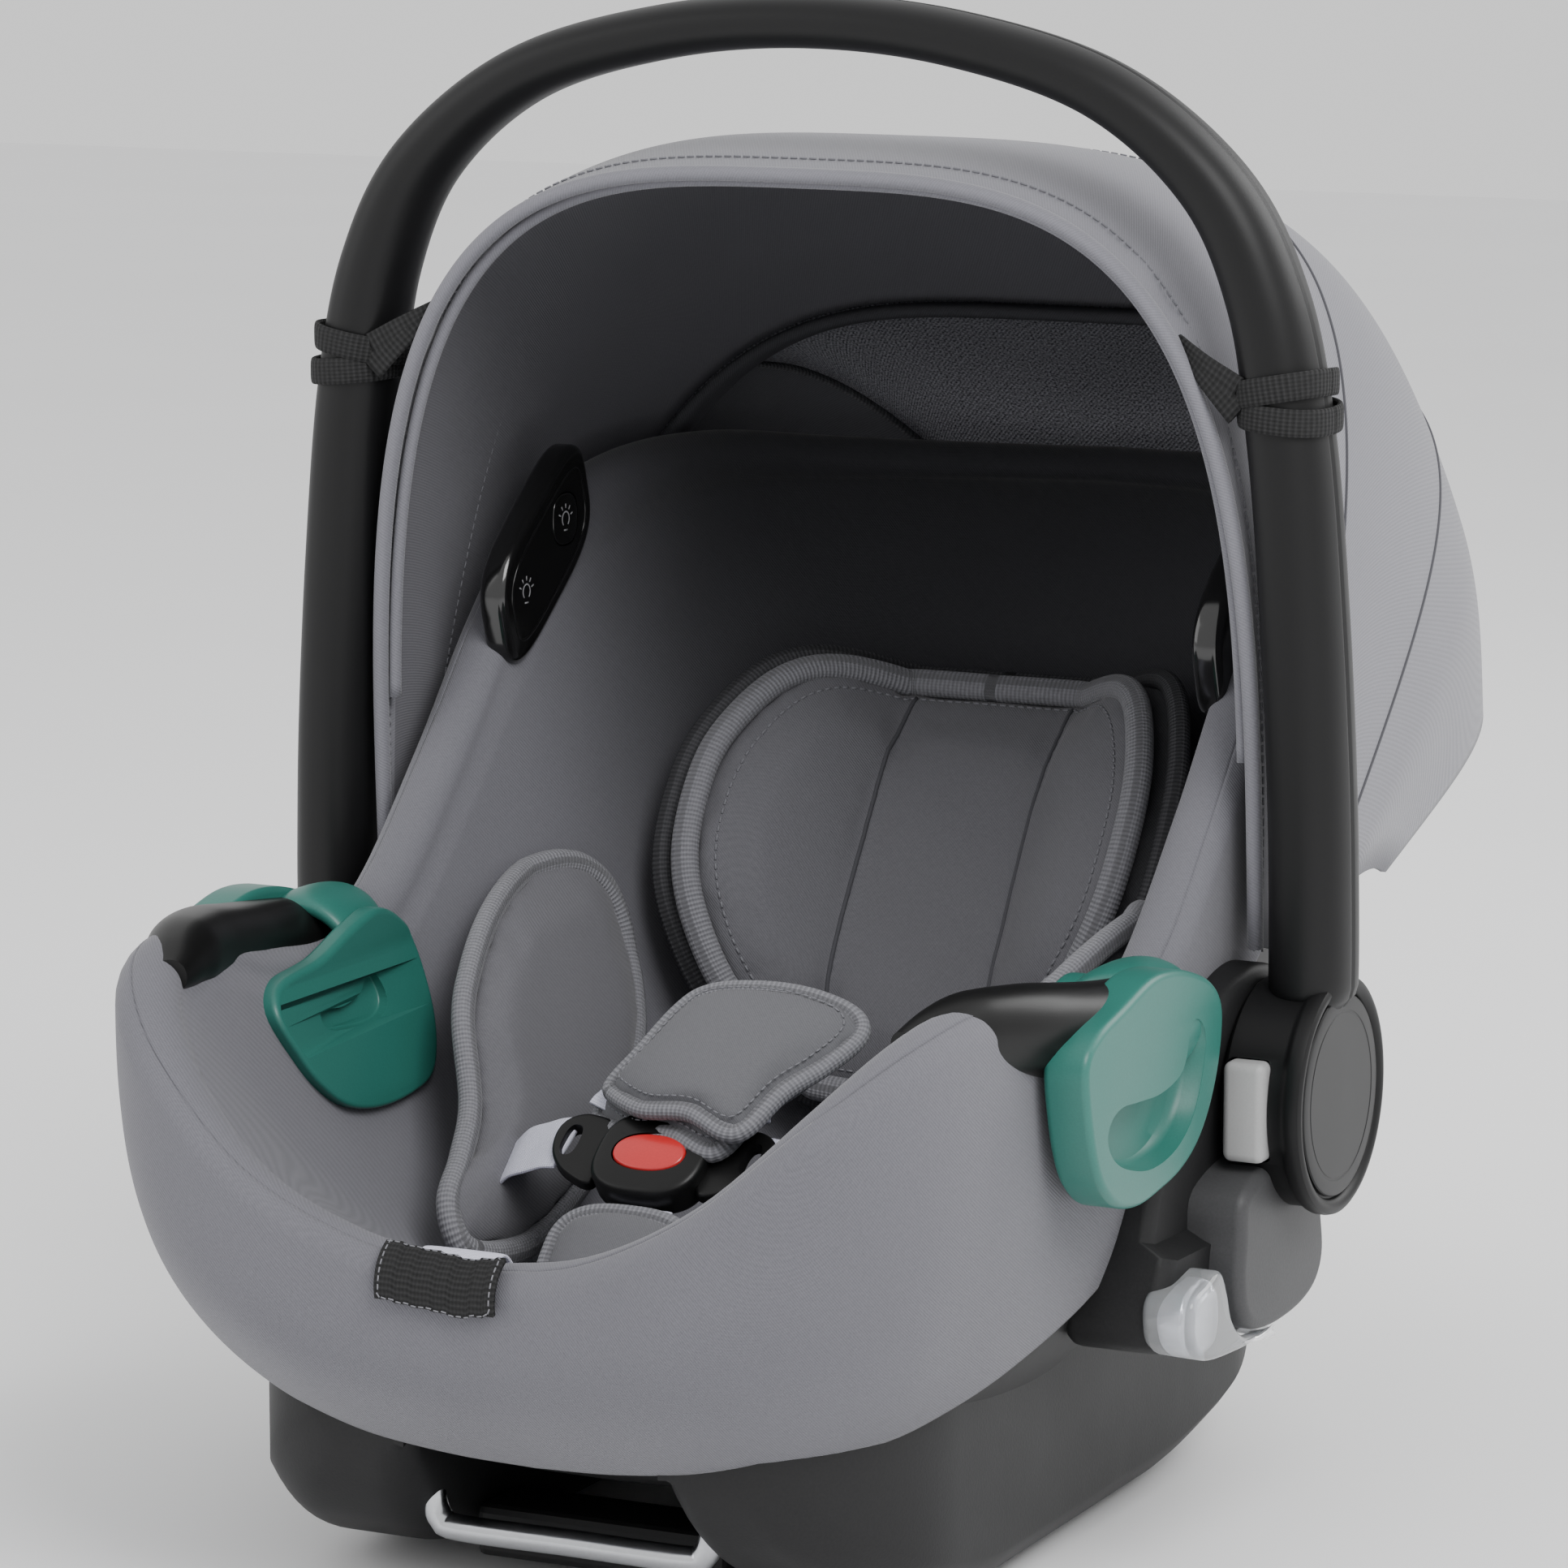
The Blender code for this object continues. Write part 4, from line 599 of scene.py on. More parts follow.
rim = rimCurve()
rimAlong = np.roll(rim, -1, axis=0) - np.roll(rim, 1, axis=0)
rimOut = np.stack([rimAlong[:, 1], -rimAlong[:, 0], np.zeros(len(rim))], axis=1)
rimOut /= np.linalg.norm(rimOut, axis=1, keepdims=True)
lip = rimLook["lip"]
up = np.array([0.0, 0.0, 1.0])


def innerRow(reach):
    # cover's inner face at one share of the way out to the rim
    base = rim - rimOut * lip
    row = base.copy()
    row[:, 0] = base[:, 0] * reach
    row[:, 1] = rimLook["middleY"] + (base[:, 1] - rimLook["middleY"]) * reach
    floor = smoothLine(seatY, seatZ, row[:, 1])
    row[:, 2] = floor + np.maximum(base[:, 2] - floor, 0.0) * reach ** rimLook["innerPower"]
    return row


def innerGrid(offset, reaches):
    rows = []
    for reach in reaches:
        row = innerRow(reach)
        down = innerRow(reach + 0.004) - innerRow(reach - 0.004)
        across = np.roll(row, -1, axis=0) - np.roll(row, 1, axis=0)
        normal = np.cross(across, down)
        normal /= np.maximum(np.linalg.norm(normal, axis=1, keepdims=True), 1e-9)
        normal *= np.where(normal[:, 2:3] < 0.0, -1.0, 1.0)
        rows.append(row - normal * offset)
    return np.array(rows)


def outerRow(offset, reach):
    power = rimLook["outerPower"]
    base = rim + rimOut * (lip - offset)
    row = base.copy()
    head = np.clip((base[:, 1] - 0.10) / 0.2, 0.0, 1.0)
    reach = np.broadcast_to(reach, len(base))
    front = np.clip((-0.08 - base[:, 1]) / 0.18, 0.0, 1.0)
    swell = 1.0 + (0.20 * head + 0.11 * front) * 4.0 * reach ** 2 * (1.0 - reach ** 2)
    row[:, 0] = base[:, 0] * reach
    row[:, 1] = rimLook["middleY"] + (base[:, 1] - rimLook["middleY"]) * reach * swell
    floor = smoothLine(baseY, baseZ, row[:, 1]) + offset
    drop = (1.0 - reach ** power) ** (1.0 / power)
    row[:, 2] = base[:, 2] + (np.minimum(floor, base[:, 2]) - base[:, 2]) * drop
    return row


def lipRows(offset, startDeg, endDeg, count):
    rows = []
    for deg in np.linspace(startDeg, endDeg, count):
        angle = math.radians(deg)
        rows.append(rim + (lip - offset) * (rimOut * math.cos(angle) + up * math.sin(angle)))
    return np.array(rows)


def hemReach():
    return smoothLine((-0.30, -0.24, -0.15, -0.09, -0.03, 0.05, 0.30),
                      (0.690, 0.750, 0.885, 0.940, 0.972, 0.975, 0.975), rim[:, 1])


def ripple(points, seed, size, depth):
    # slow unevenness of hand-fitted cloth
    offset = seed * 3.7
    a = np.sin(points[..., 0] * size + offset) * np.sin(points[..., 1] * size * 0.8 - offset)
    b = np.sin(points[..., 2] * size * 1.3 + points[..., 0] * size * 0.6 + offset * 2.0)
    return depth * (a + b) * 0.5


def makeCover():
    look = {"reachRows": 64, "lipRows": 14, "ripple": 0.0008}
    reaches = np.clip(np.linspace(0.0, 1.0, look["reachRows"]) ** 0.8, 0.03, 0.985)
    top = np.concatenate([innerGrid(0.0, reaches), lipRows(0.0, 176.0, 58.0, look["lipRows"])])
    under = np.concatenate([innerGrid(0.003, reaches), lipRows(0.003, 176.0, 58.0,
                                                               look["lipRows"])])
    top[..., 2] += ripple(top, 1, 38.0, look["ripple"])
    mesh = shellMesh("seatCover", top, under, wrap=True, capCentre=True)
    return finishPiece("seatCover", mesh, coverMat, "seat", ["seat_cover"])


def makeApron():
    look = {"rows": 46, "ripple": 0.0012}
    hem = hemReach()
    top = list(lipRows(0.0, 60.0, 4.0, 9))
    under = list(lipRows(0.003, 60.0, 4.0, 9))
    full = np.arccos(hem ** 1.3)
    for part in np.linspace(0.0, 1.0, look["rows"])[1:]:
        reach = np.cos(full * part) ** (2 / rimLook["outerPower"])
        top.append(outerRow(0.0, reach))
        under.append(outerRow(0.003, reach))
    top = np.array(top)
    slack = np.linspace(0.0, 1.0, len(top))[:, None]
    top += (rimOut * ripple(top, 2, 30.0, look["ripple"])[..., None]) * slack[..., None]
    mesh = shellMesh("frontApron", top, np.array(under), wrap=True)
    return finishPiece("frontApron", mesh, fabricSolidMat, "seat", ["front_apron"])


def makeShell():
    inset = 0.0044
    turns = np.linspace(0.0, 0.5 * math.pi, 50)[1:-1]
    reaches = np.cos(turns) ** (2 / rimLook["outerPower"])
    outer = [outerRow(inset, r) for r in reaches]
    wall = rimLook["wall"]
    rows = [outerRow(inset + wall, min(r, 0.985)) for r in reaches][::-1]
    rows += list(lipRows(inset + wall, 0.0, 100.0, 4)) + list(lipRows(inset, 100.0, 0.0, 8))
    rows = np.array(rows + outer)
    count = rows.shape[1]
    faces = ringFaces(len(rows), count, True)
    faces.append(tuple(range(count)))
    faces.append(tuple(range((len(rows) - 1) * count, len(rows) * count)))
    mesh = buildMesh("seatShell", rows.reshape(-1, 3), faces)
    return finishPiece("seatShell", mesh, shellMat, "seat", ["seat_shell"])


def treeOf(obj):
    verts = [Vector(v.co) - Vector(pivot) for v in obj.data.vertices]
    return BVHTree.FromPolygons(verts, [tuple(p.vertices) for p in obj.data.polygons])


def makeRunner(side, label, trees):
    look = {"across": 25, "along": 90, "corner": 0.052}
    ys = np.linspace(-0.236, 0.170, look["along"])
    profile = smoothLine((-0.236, -0.225, -0.206, -0.17, -0.11, 0.04, 0.10, 0.14, 0.170),
                         (-0.113, -0.133, -0.150, -0.166, -0.175, -0.175, -0.168, -0.150, -0.125),
                         ys)
    top = np.zeros((len(ys), look["across"], 3))
    under = np.zeros_like(top)
    for i, y in enumerate(ys):
        # the outer edge rounds off towards both ends
        near = max((-0.160 - y) / 0.077, (y - 0.110) / 0.062, 0.0)
        outer = 0.136 - look["corner"] * (1.0 - math.sqrt(max(1.0 - near ** 2, 0.0)))
        for j, x in enumerate(np.linspace(0.052, outer, look["across"])):
            hits = [t.ray_cast(Vector((side * x, y, -0.4)), Vector((0.0, 0.0, 1.0)))[0]
                    for t in trees]
            ceiling = min(h.z for h in hits if h) + 0.001
            edge = max(abs(2.0 * j / (look["across"] - 1) - 1.0) - 0.34, 0.0) / 0.66
            low = profile[i] + 0.018 * edge ** 2.4
            top[i, j] = (side * x, y, ceiling)
            under[i, j] = (side * x, y, min(low, ceiling - 0.003))
    mesh = shellMesh("runner", top, under)
    name = "runner_" + label
    obj = finishPiece(name + "_v", mesh, shellMat, "seat", [name])
    creaseByAngle(obj, 40.0)
    return obj


def makeBars():
    look = {"radius": 0.005, "rise": 0.020}
    for name, y, z in (("front_anchor_bar", -0.203, -0.149), ("rear_anchor_bar", 0.095, -0.158)):
        points = [(-0.0580, y, z + look["rise"]), (-0.0575, y, z + 0.010),
                  (-0.0545, y, z + 0.0028), (-0.0470, y, z), (0.0, y, z),
                  (0.0470, y, z), (0.0545, y, z + 0.0028), (0.0575, y, z + 0.010),
                  (0.0580, y, z + look["rise"])]
        path = spline(points, 80)
        mesh = loftMesh(name, sweep(path, (0.0, 1.0, 0.0), look["radius"], look["radius"], 32,
                                    2.0))
        finishPiece(name + "_v", mesh, steelMat, "seat", [name])


cover = makeCover()
apron = makeApron()
shell = makeShell()
underTrees = [treeOf(shell), treeOf(apron)]
coverTree = treeOf(cover)
for side, label in ((-1, "left"), (1, "right")):
    makeRunner(side, label, underTrees)
makeBars()
print("seat, apron, shell and runners made")


# carrying handle

handlePoints = ((0.2095, 0.030), (0.2095, 0.062), (0.208, 0.116), (0.204, 0.182), (0.198, 0.246),
                (0.188, 0.298), (0.166, 0.340), (0.122, 0.374), (0.062, 0.3915), (0.0, 0.397))


def handlePath(count):
    right = [(x, 0.0, z) for x, z in handlePoints]
    left = [(-x, 0.0, z) for x, z in handlePoints[:-1]][::-1]
    return spline(right + left, count)


def handleSizes(z):
    side = smoothLine((0.0, 0.24, 0.31, 0.36, 0.40), (0.0158, 0.0155, 0.0140, 0.0118, 0.0103), z)
    deep = smoothLine((0.0, 0.24, 0.31, 0.36, 0.40), (0.0200, 0.0200, 0.0190, 0.0178, 0.0170), z)
    return side, deep


def makeHandle():
    look = {"steps": 260, "around": 120, "groove": 0.0007, "round": 0.012}
    path = handlePath(look["steps"])
    side, deep = handleSizes(path[:, 2])
    rings = sweep(path, (0.0, 1.0, 0.0), deep, side, look["around"], 2.35)
    outward = path - np.array([0.0, 0.0, 0.15])
    outward /= np.linalg.norm(outward, axis=1, keepdims=True)
    for k in range(len(path)):
        away = rings[k] - path[k]
        facing = away @ outward[k]
        sideways = np.abs(away[:, 1])
        line = np.clip(1.0 - np.abs(sideways - 0.0) / 0.0011, 0.0, 1.0) * (facing > 0.0)
        rings[k] -= outward[k] * (line * look["groove"])[:, None]
    # rounded lower ends
    for order in (range(len(path)), range(len(path) - 1, -1, -1)):
        order = list(order)
        start = path[order[0]].copy()
        for k in order:
            gone = abs(path[k][2] - start[2])
            if gone > look["round"]:
                break
            u = 1.0 - gone / look["round"]
            rings[k] = path[k] + (rings[k] - path[k]) * (math.sqrt(max(1.0 - u * u, 0.0)) * 0.9
                                                         + 0.1)
    mesh = loftMesh("handleTube", rings)
    return finishPiece("handleTube", mesh, handleMat, "handle", ["handle_tube"])


def booleanMesh(first, second, operation):
    target = bpy.data.objects.new("target", first)
    tool = bpy.data.objects.new("tool", second)
    for item in (target, tool):
        bpy.context.scene.collection.objects.link(item)
    change = target.modifiers.new("shape", "BOOLEAN")
    change.operation = operation
    change.solver = "EXACT"
    change.object = tool
    graph = bpy.context.evaluated_depsgraph_get()
    mesh = bpy.data.meshes.new_from_object(target.evaluated_get(graph))
    bpy.data.objects.remove(target)
    bpy.data.objects.remove(tool)
    return mesh


def roundedBox(low, high, radius, steps=4):
    low = np.asarray(low, float)
    high = np.asarray(high, float)
    mesh = bpy.data.meshes.new("roundedBox")
    work = bmesh.new()
    bmesh.ops.create_cube(work, size=1.0)
    centre = (low + high) / 2 + pivot
    for v in work.verts:
        v.co = Vector(centre + np.array(v.co) * (high - low))
    bmesh.ops.bevel(work, geom=work.edges[:], offset=radius, segments=steps, profile=0.5,
                    affect="EDGES")
    bmesh.ops.recalc_face_normals(work, faces=work.faces)
    work.to_mesh(mesh)
    work.free()
    return mesh


def makeHub(side, label):
    look = {"around": 128}
    profile = ((0.189, 0.0004), (0.189, 0.0405), (0.1896, 0.0420), (0.1910, 0.0430),
               (0.2125, 0.0430), (0.2140, 0.0436), (0.2150, 0.0448), (0.2165, 0.0454),
               (0.2195, 0.0455), (0.2212, 0.0450), (0.2220, 0.0438), (0.2221, 0.0424),
               (0.2214, 0.0408), (0.2204, 0.0397), (0.2192, 0.0392), (0.2190, 0.0004))
    hub = latheX("hub", side, profile, look["around"])
    x0, x1 = sorted((side * 0.1905, side * 0.2085))
    pocket = roundedBox((x0, -0.060, -0.0196), (x1, -0.026, 0.0196), 0.003)
    hub = booleanMesh(hub, pocket, "DIFFERENCE")
    name = "handle_hub_" + label
    obj = finishPiece(name + "_v", hub, handleMat, "handle", [name])
    creaseByAngle(obj, 35.0)
    capProfile = ((0.2188, 0.0004), (0.2188, 0.0380), (0.2196, 0.0384), (0.2206, 0.0384),
                  (0.2211, 0.0380), (0.2213, 0.0372), (0.2213, 0.0325), (0.2211, 0.0322),
                  (0.2211, 0.0316), (0.2213, 0.0313), (0.2215, 0.0004))
    cap = latheX("cap", side, capProfile, look["around"])
    name = "hub_cap_" + label
    obj = finishPiece(name + "_v", cap, capMat, "handle", [name])
    creaseByAngle(obj, 30.0)
    makeHubButton(side, label)


def makeHubButton(side, label):
    look = {"bulge": 0.0022, "round": 0.0035}
    x0, x1 = sorted((side * 0.1910, side * 0.2080))
    mesh = roundedBox((x0, -0.0470, -0.019), (x1, -0.0310, 0.019), look["round"], 6)
    for v in mesh.vertices:
        if v.co.y - pivotY < -0.040:
            across = (v.co.x * side - 0.1995) / 0.0085
            high = (v.co.z - pivotZ) / 0.019
            v.co.y += look["bulge"] * 0.35 * (across ** 2 + high ** 2 * 0.6)
    name = "handle_button_" + label
    finishPiece(name + "_v", mesh, buttonMat, name, [name])


capMat = shaded("capSatin", grainGroup, {"Size": 1800.0, "Marks": 0.06},
                (0.010, 0.010, 0.0105), (0.017, 0.017, 0.0175), 0.40, 0.05, 0.0001, "Object",
                specular=0.25)
makeHandle()
for side, label in ((-1, "left"), (1, "right")):
    makeHub(side, label)
print("handle, hubs, caps and buttons made")


# brackets, outer lenses and belt hooks

def closedOutline(pairs, count=90):
    points = [(0.0, y, z) for y, z in pairs]
    line = spline(points, count, loop=True)
    return [(p[1], p[2]) for p in line]


def wallReach(y, z):
    hit = coverTree.ray_cast(Vector((0.0, y, z)), Vector((1.0, 0.0, 0.0)))[0]
    return hit.x if hit else 9.0


def makeBracket(side, label):
    look = {"bevel": 0.0045, "lobeX": (0.1720, 0.2066), "towerX": (0.1500, 0.1990)}
    lobe = [(-0.060, -0.046), (-0.0615, -0.060), (-0.058, -0.073), (-0.047, -0.0815),
            (-0.025, -0.0850), (0.002, -0.0835), (0.018, -0.0775), (0.0245, -0.066),
            (0.022, -0.050), (0.018, -0.030), (-0.020, -0.020), (-0.056, -0.028)]
    low, high = sorted(side * x for x in look["lobeX"])
    mesh = outlineSolid("lobe", [closedOutline(lobe)], low, high, look["bevel"], 5)
    name = "side_bracket_" + label
    obj = finishPiece(name + "_v", mesh, bracketMat, "seat", [name])
    creaseByAngle(obj, 38.0)
    tower = [(-0.098, -0.079), (-0.092, -0.040), (-0.080, -0.004), (-0.060, 0.024),
             (-0.030, 0.043), (0.005, 0.047), (0.034, 0.034), (0.046, 0.002),
             (0.034, -0.034), (0.012, -0.060), (-0.014, -0.080), (-0.056, -0.0860)]
    low, high = sorted(side * x for x in look["towerX"])
    mesh = outlineSolid("tower", [closedOutline(tower)], low, high, 0.006, 5)
    for v in mesh.vertices:
        # the tower leans in towards the shell at its front
        ahead = min(max((-0.040 - (v.co.y - pivotY)) / 0.058, 0.0), 1.0)
        outward = (abs(v.co.x) - 0.150) / 0.049
        v.co.x -= side * 0.010 * ahead ** 1.5 * outward
        if v.co.z - pivotZ > -0.045:
            v.co.x -= side * 0.0098 * outward
    obj = finishPiece("sideTower_" + label, mesh, shellMat, "seat", [])
    creaseByAngle(obj, 38.0)
    lens = [(-0.1000, -0.0590), (-0.0860, -0.0550), (-0.0745, -0.0530), (-0.0680, -0.0620),
            (-0.0625, -0.0740), (-0.0500, -0.0830), (-0.0250, -0.0868), (-0.0180, -0.0875),
            (-0.0300, -0.0885), (-0.0550, -0.0880), (-0.0850, -0.0850), (-0.0990, -0.0780),
            (-0.1030, -0.0680)]
    low, high = sorted((side * 0.1830, side * 0.2040))
    mesh = outlineSolid("lens", [closedOutline(lens)], low, high, 0.0030, 6)
    name = "outer_light_lens_" + label
    finishPiece(name + "_v", mesh, lensMat, "seat", [name])
    makeReflector(side, label)


def makeReflector(side, label):
    # small bright cup behind the clear lens
    cup = [(-0.0960, -0.0640), (-0.0850, -0.0590), (-0.0760, -0.0600), (-0.0730, -0.0700),
           (-0.0760, -0.0790), (-0.0870, -0.0810), (-0.0960, -0.0750)]
    low, high = sorted((side * 0.1860, side * 0.1985))
    mesh = outlineSolid("reflector", [closedOutline(cup, 60)], low, high, 0.0022, 4)
    finishPiece("lensReflector_" + label, mesh, reflectorMat, "seat", [])


reflectorMat = shaded("lensReflector", grainGroup, {"Size": 500.0, "Marks": 0.2},
                      (0.62, 0.63, 0.68), (0.90, 0.91, 0.95), 0.18, 0.2, 0.0004, "Object",
                      metallic=0.6)


def hornPath(side, count):
    return spline([(side * 0.148, -0.236, 0.0560), (side * 0.158, -0.212, 0.0580),
                   (side * 0.168, -0.182, 0.0545), (side * 0.174, -0.150, 0.0490),
                   (side * 0.177, -0.126, 0.0455), (side * 0.1775, -0.0960, 0.0420)], count)


def makeHorn(side, label):
    look = {"steps": 70, "around": 64}
    path = hornPath(side, look["steps"])
    size = smoothLine((-0.240, -0.222, -0.205, -0.17, -0.12, -0.09),
                      (0.0050, 0.0110, 0.0145, 0.0165, 0.0170, 0.0165), path[:, 1])
    rings = sweep(path, (1.0, 0.0, 0.0), size, size * 1.04, look["around"], 2.15)
    mesh = loftMesh("horn", rings)
    name = "belt_horn_" + label
    obj = finishPiece(name + "_v", mesh, blackMat, "seat", [name])
    creaseByAngle(obj, 50.0)


def hookRecess(side, outer):
    # belt slot in the hook's outer cheek, with a hollow floor
    outline = [(-0.100, 0.0245), (-0.118, 0.0215), (-0.138, 0.0225), (-0.153, 0.0235),
               (-0.1625, 0.0205), (-0.1660, 0.0140), (-0.160, 0.0060), (-0.147, 0.0000),
               (-0.126, -0.0042), (-0.104, -0.0020), (-0.088, 0.0065), (-0.079, 0.0200),
               (-0.076, 0.0340), (-0.083, 0.0420), (-0.091, 0.0400), (-0.0935, 0.0310)]
    outline = np.array(closedOutline(outline, 72))
    middle = np.array([-0.120, 0.0085])
    rings = []
    for x, scale in ((outer + 0.006, 1.05), (outer - 0.0004, 1.02), (outer - 0.0022, 0.985),
                     (outer - 0.0060, 0.955), (outer - 0.0085, 0.90), (outer - 0.0100, 0.80),
                     (outer - 0.0106, 0.55), (outer - 0.0108, 0.15)):
        ring = middle + (outline - middle) * scale
        rings.append([(side * x, y, z) for y, z in ring])
    return loftMesh("recess", rings)


def makeHook(side, label):
    look = {"outerX": 0.1965, "innerX": 0.1790, "bevel": 0.0028, "cheekX": (0.1440, 0.1535),
            "proud": -0.0060}
    outline = [(-0.186, 0.044), (-0.182, 0.020), (-0.174, 0.002), (-0.163, -0.0085),
               (-0.151, -0.0140), (-0.134, -0.0165), (-0.116, -0.0150), (-0.098, -0.0120),
               (-0.083, -0.006), (-0.071, 0.004), (-0.062, 0.018), (-0.0575, 0.033),
               (-0.0585, 0.045), (-0.068, 0.054), (-0.085, 0.0605), (-0.105, 0.0650),
               (-0.125, 0.0655), (-0.150, 0.060), (-0.174, 0.054)]
    low, high = sorted((side * look["innerX"], side * look["outerX"]))
    mesh = outlineSolid("hook", [closedOutline(outline, 120)], low, high, look["bevel"], 6)
    mesh = booleanMesh(mesh, hookRecess(side, look["outerX"]), "DIFFERENCE")
    name = "belt_hook_" + label
    obj = finishPiece(name + "_v", mesh, hookMat, "seat", [name])
    creaseByAngle(obj, 32.0)
    cheek = [(-0.1720, 0.0300), (-0.1640, 0.0120), (-0.1551, 0.0000), (-0.1402, -0.0100),
             (-0.1172, -0.0150), (-0.0898, -0.0150), (-0.0697, -0.0092), (-0.058, 0.0106),
             (-0.0575, 0.0385), (-0.0680, 0.0500), (-0.0850, 0.0560), (-0.1050, 0.0520),
             (-0.1300, 0.0440), (-0.1600, 0.0400)]
    low, high = sorted(side * x for x in look["cheekX"])
    mesh = outlineSolid("cheek", [closedOutline(cheek, 100)], low, high, 0.0028, 5)
    notch = [(-0.1360, 0.0250), (-0.1180, 0.0235), (-0.1020, 0.0260), (-0.0960, 0.0320),
             (-0.0880, 0.0300), (-0.0860, 0.0200), (-0.0960, 0.0145), (-0.1160, 0.0150),
             (-0.1350, 0.0180)]
    a, b = sorted((side * 0.1400, side * 0.1480))
    slot = outlineSolid("notch", [closedOutline(notch, 60)], a, b, 0.0008, 2)
    mesh = booleanMesh(mesh, slot, "DIFFERENCE")
    for vert in mesh.vertices:
        # the cheek leans against the cover's flank
        y, z = vert.co.y - pivot[1], vert.co.z - pivot[2]
        vert.co.x += side * min(wallReach(y, z) + look["proud"] - look["cheekX"][0], 0.0)
    obj = finishPiece("hookCheek_" + label, mesh, hookMat, "seat", [])
    creaseByAngle(obj, 32.0)
    # lobe that wraps over the rear end of the horn
    angles = np.radians(np.linspace(-38.0, 205.0, 60))
    reach = 0.0192
    arc = [(side * (0.1710 + 1.12 * reach * math.cos(a)), -0.0890 + 0.004 * math.sin(a),
            0.0375 + reach * 1.06 * math.sin(a)) for a in angles]
    taper = np.sqrt(np.clip(np.sin(np.linspace(0.12, math.pi - 0.12, 60)), 0.0, 1.0))
    rings = sweep(arc, (0.0, 1.0, 0.0), 0.0195 * taper, 0.0050 * taper, 32, 2.6)
    mesh = loftMesh("lobe", rings)
    finishPiece("hookLobe_" + label, mesh, hookMat, "seat", [])


for side, label in ((-1, "left"), (1, "right")):
    makeBracket(side, label)
    makeHorn(side, label)
    makeHook(side, label)
print("brackets, lenses, horns and hooks made")


# canopy

canopyLook = {"front": -3.0, "rear": 73.0, "rows": 90, "columns": 200, "skin": 0.0024,
              "hem": 0.060, "arch": 0.64}


def canopyPoint(turn, arch, inset):
    degrees = canopyLook["front"] + (canopyLook["rear"] - canopyLook["front"]) * turn
    stations = (0.0, 0.25, 0.5, 0.8, 1.0)
    crown = smoothLine(stations, (0.3415, 0.3640, 0.3780, 0.3860, 0.3780), turn) - inset
    half = smoothLine((0.0, 0.3, 0.8, 1.0), (0.1885, 0.1890, 0.1850, 0.1740), turn) - inset
    hem = smoothLine((0.0, 0.3, 0.55, 0.8, 1.0), (0.0540, 0.0520, 0.0720, 0.1150, 0.1800), turn)
    power = 3.4 + 1.4 * turn
    angle = np.pi * arch
    side = np.abs(np.cos(angle)) ** (2 / power) * np.sign(-np.cos(angle))
    rise = np.abs(np.sin(angle)) ** (2 / power)
    radius = hem + (crown - hem) * rise
    a = np.radians(degrees)
    return np.stack([half * side, radius * np.sin(a), radius * np.cos(a)], axis=-1)


def canopyArches(count):
    k = np.linspace(0.0, 1.0, count)
    return 0.35 * (0.5 - 0.5 * np.cos(np.pi * k)) + 0.65 * k


def canopyTension(turn, arch):
    # slack between the ribs, small creases near the elastic loops and along the hem
    slack = 0.0035 * np.sin(np.pi * np.clip(turn / 0.5, 0.0, 1.0)) ** 2
    slack = slack + 0.0035 * np.sin(np.pi * np.clip((turn - 0.5) / 0.5, 0.0, 1.0)) ** 2
    crease = 0.0011 * np.sin(arch * 96.0 + 8.0 * turn) * np.exp(-turn / 0.10)
    crease = crease * np.exp(-((np.abs(arch - 0.5) - 0.27) / 0.09) ** 2)
    return slack * np.sin(np.pi * arch) ** 2 + crease


def makeCanopy():
    turns = np.linspace(0.0, 1.0, canopyLook["rows"]) ** 1.15
    arches = canopyArches(canopyLook["columns"])
    turn, arch = np.meshgrid(turns, arches, indexing="ij")
    slack = canopyTension(turn, arch)
    top = canopyPoint(turn, arch, slack)
    under = canopyPoint(turn, arch, slack + canopyLook["skin"])
    mesh = shellMesh("canopyFabric", top, under)
    mesh.materials.append(canopyMat)
    mesh.materials.append(liningMat)
    rows, columns = turn.shape
    picks = np.zeros(len(mesh.polygons), dtype=np.int32)
    quads = (rows - 1) * (columns - 1)
    inner = np.ones((rows - 1, columns - 1), dtype=np.int32)
    inner[turn[:-1, :-1] < canopyLook["hem"]] = 0
    picks[quads:2 * quads] = inner.ravel()
    mesh.polygons.foreach_set("material_index", picks)
    obj = showPiece("canopyFabric", mesh)
    blendCanopy(obj)
    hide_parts("canopy_fabric")
    return obj


# two points on the canopy, from the seat side towards the front hoop; blendCanopy reads them and
# only bakes the transform
canopyBend = ((0.0, 0.20 * 0.94, -0.20 * 0.342), (0.0, -0.10 * 0.94, 0.10 * 0.342))


def archPath(turn, inset, count, low=0.0, high=1.0):
    arches = low + (high - low) * canopyArches(count)
    return canopyPoint(np.full(count, turn), arches, inset)


def canopyStrand(name, points, halfSide, halfUp, mat, power, around):
    # strand of cloth or seam that runs over the arch
    mesh = loftMesh(name, sweep(points, (0.0, 1.0, 0.0), halfSide, halfUp, around, power))
    blendCanopy(showPiece(name, mesh, mat))


def blendCanopy(obj):
    start = Vector(canopyBend[0]) + Vector(pivot)
    end = Vector(canopyBend[1]) + Vector(pivot)
    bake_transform(obj)


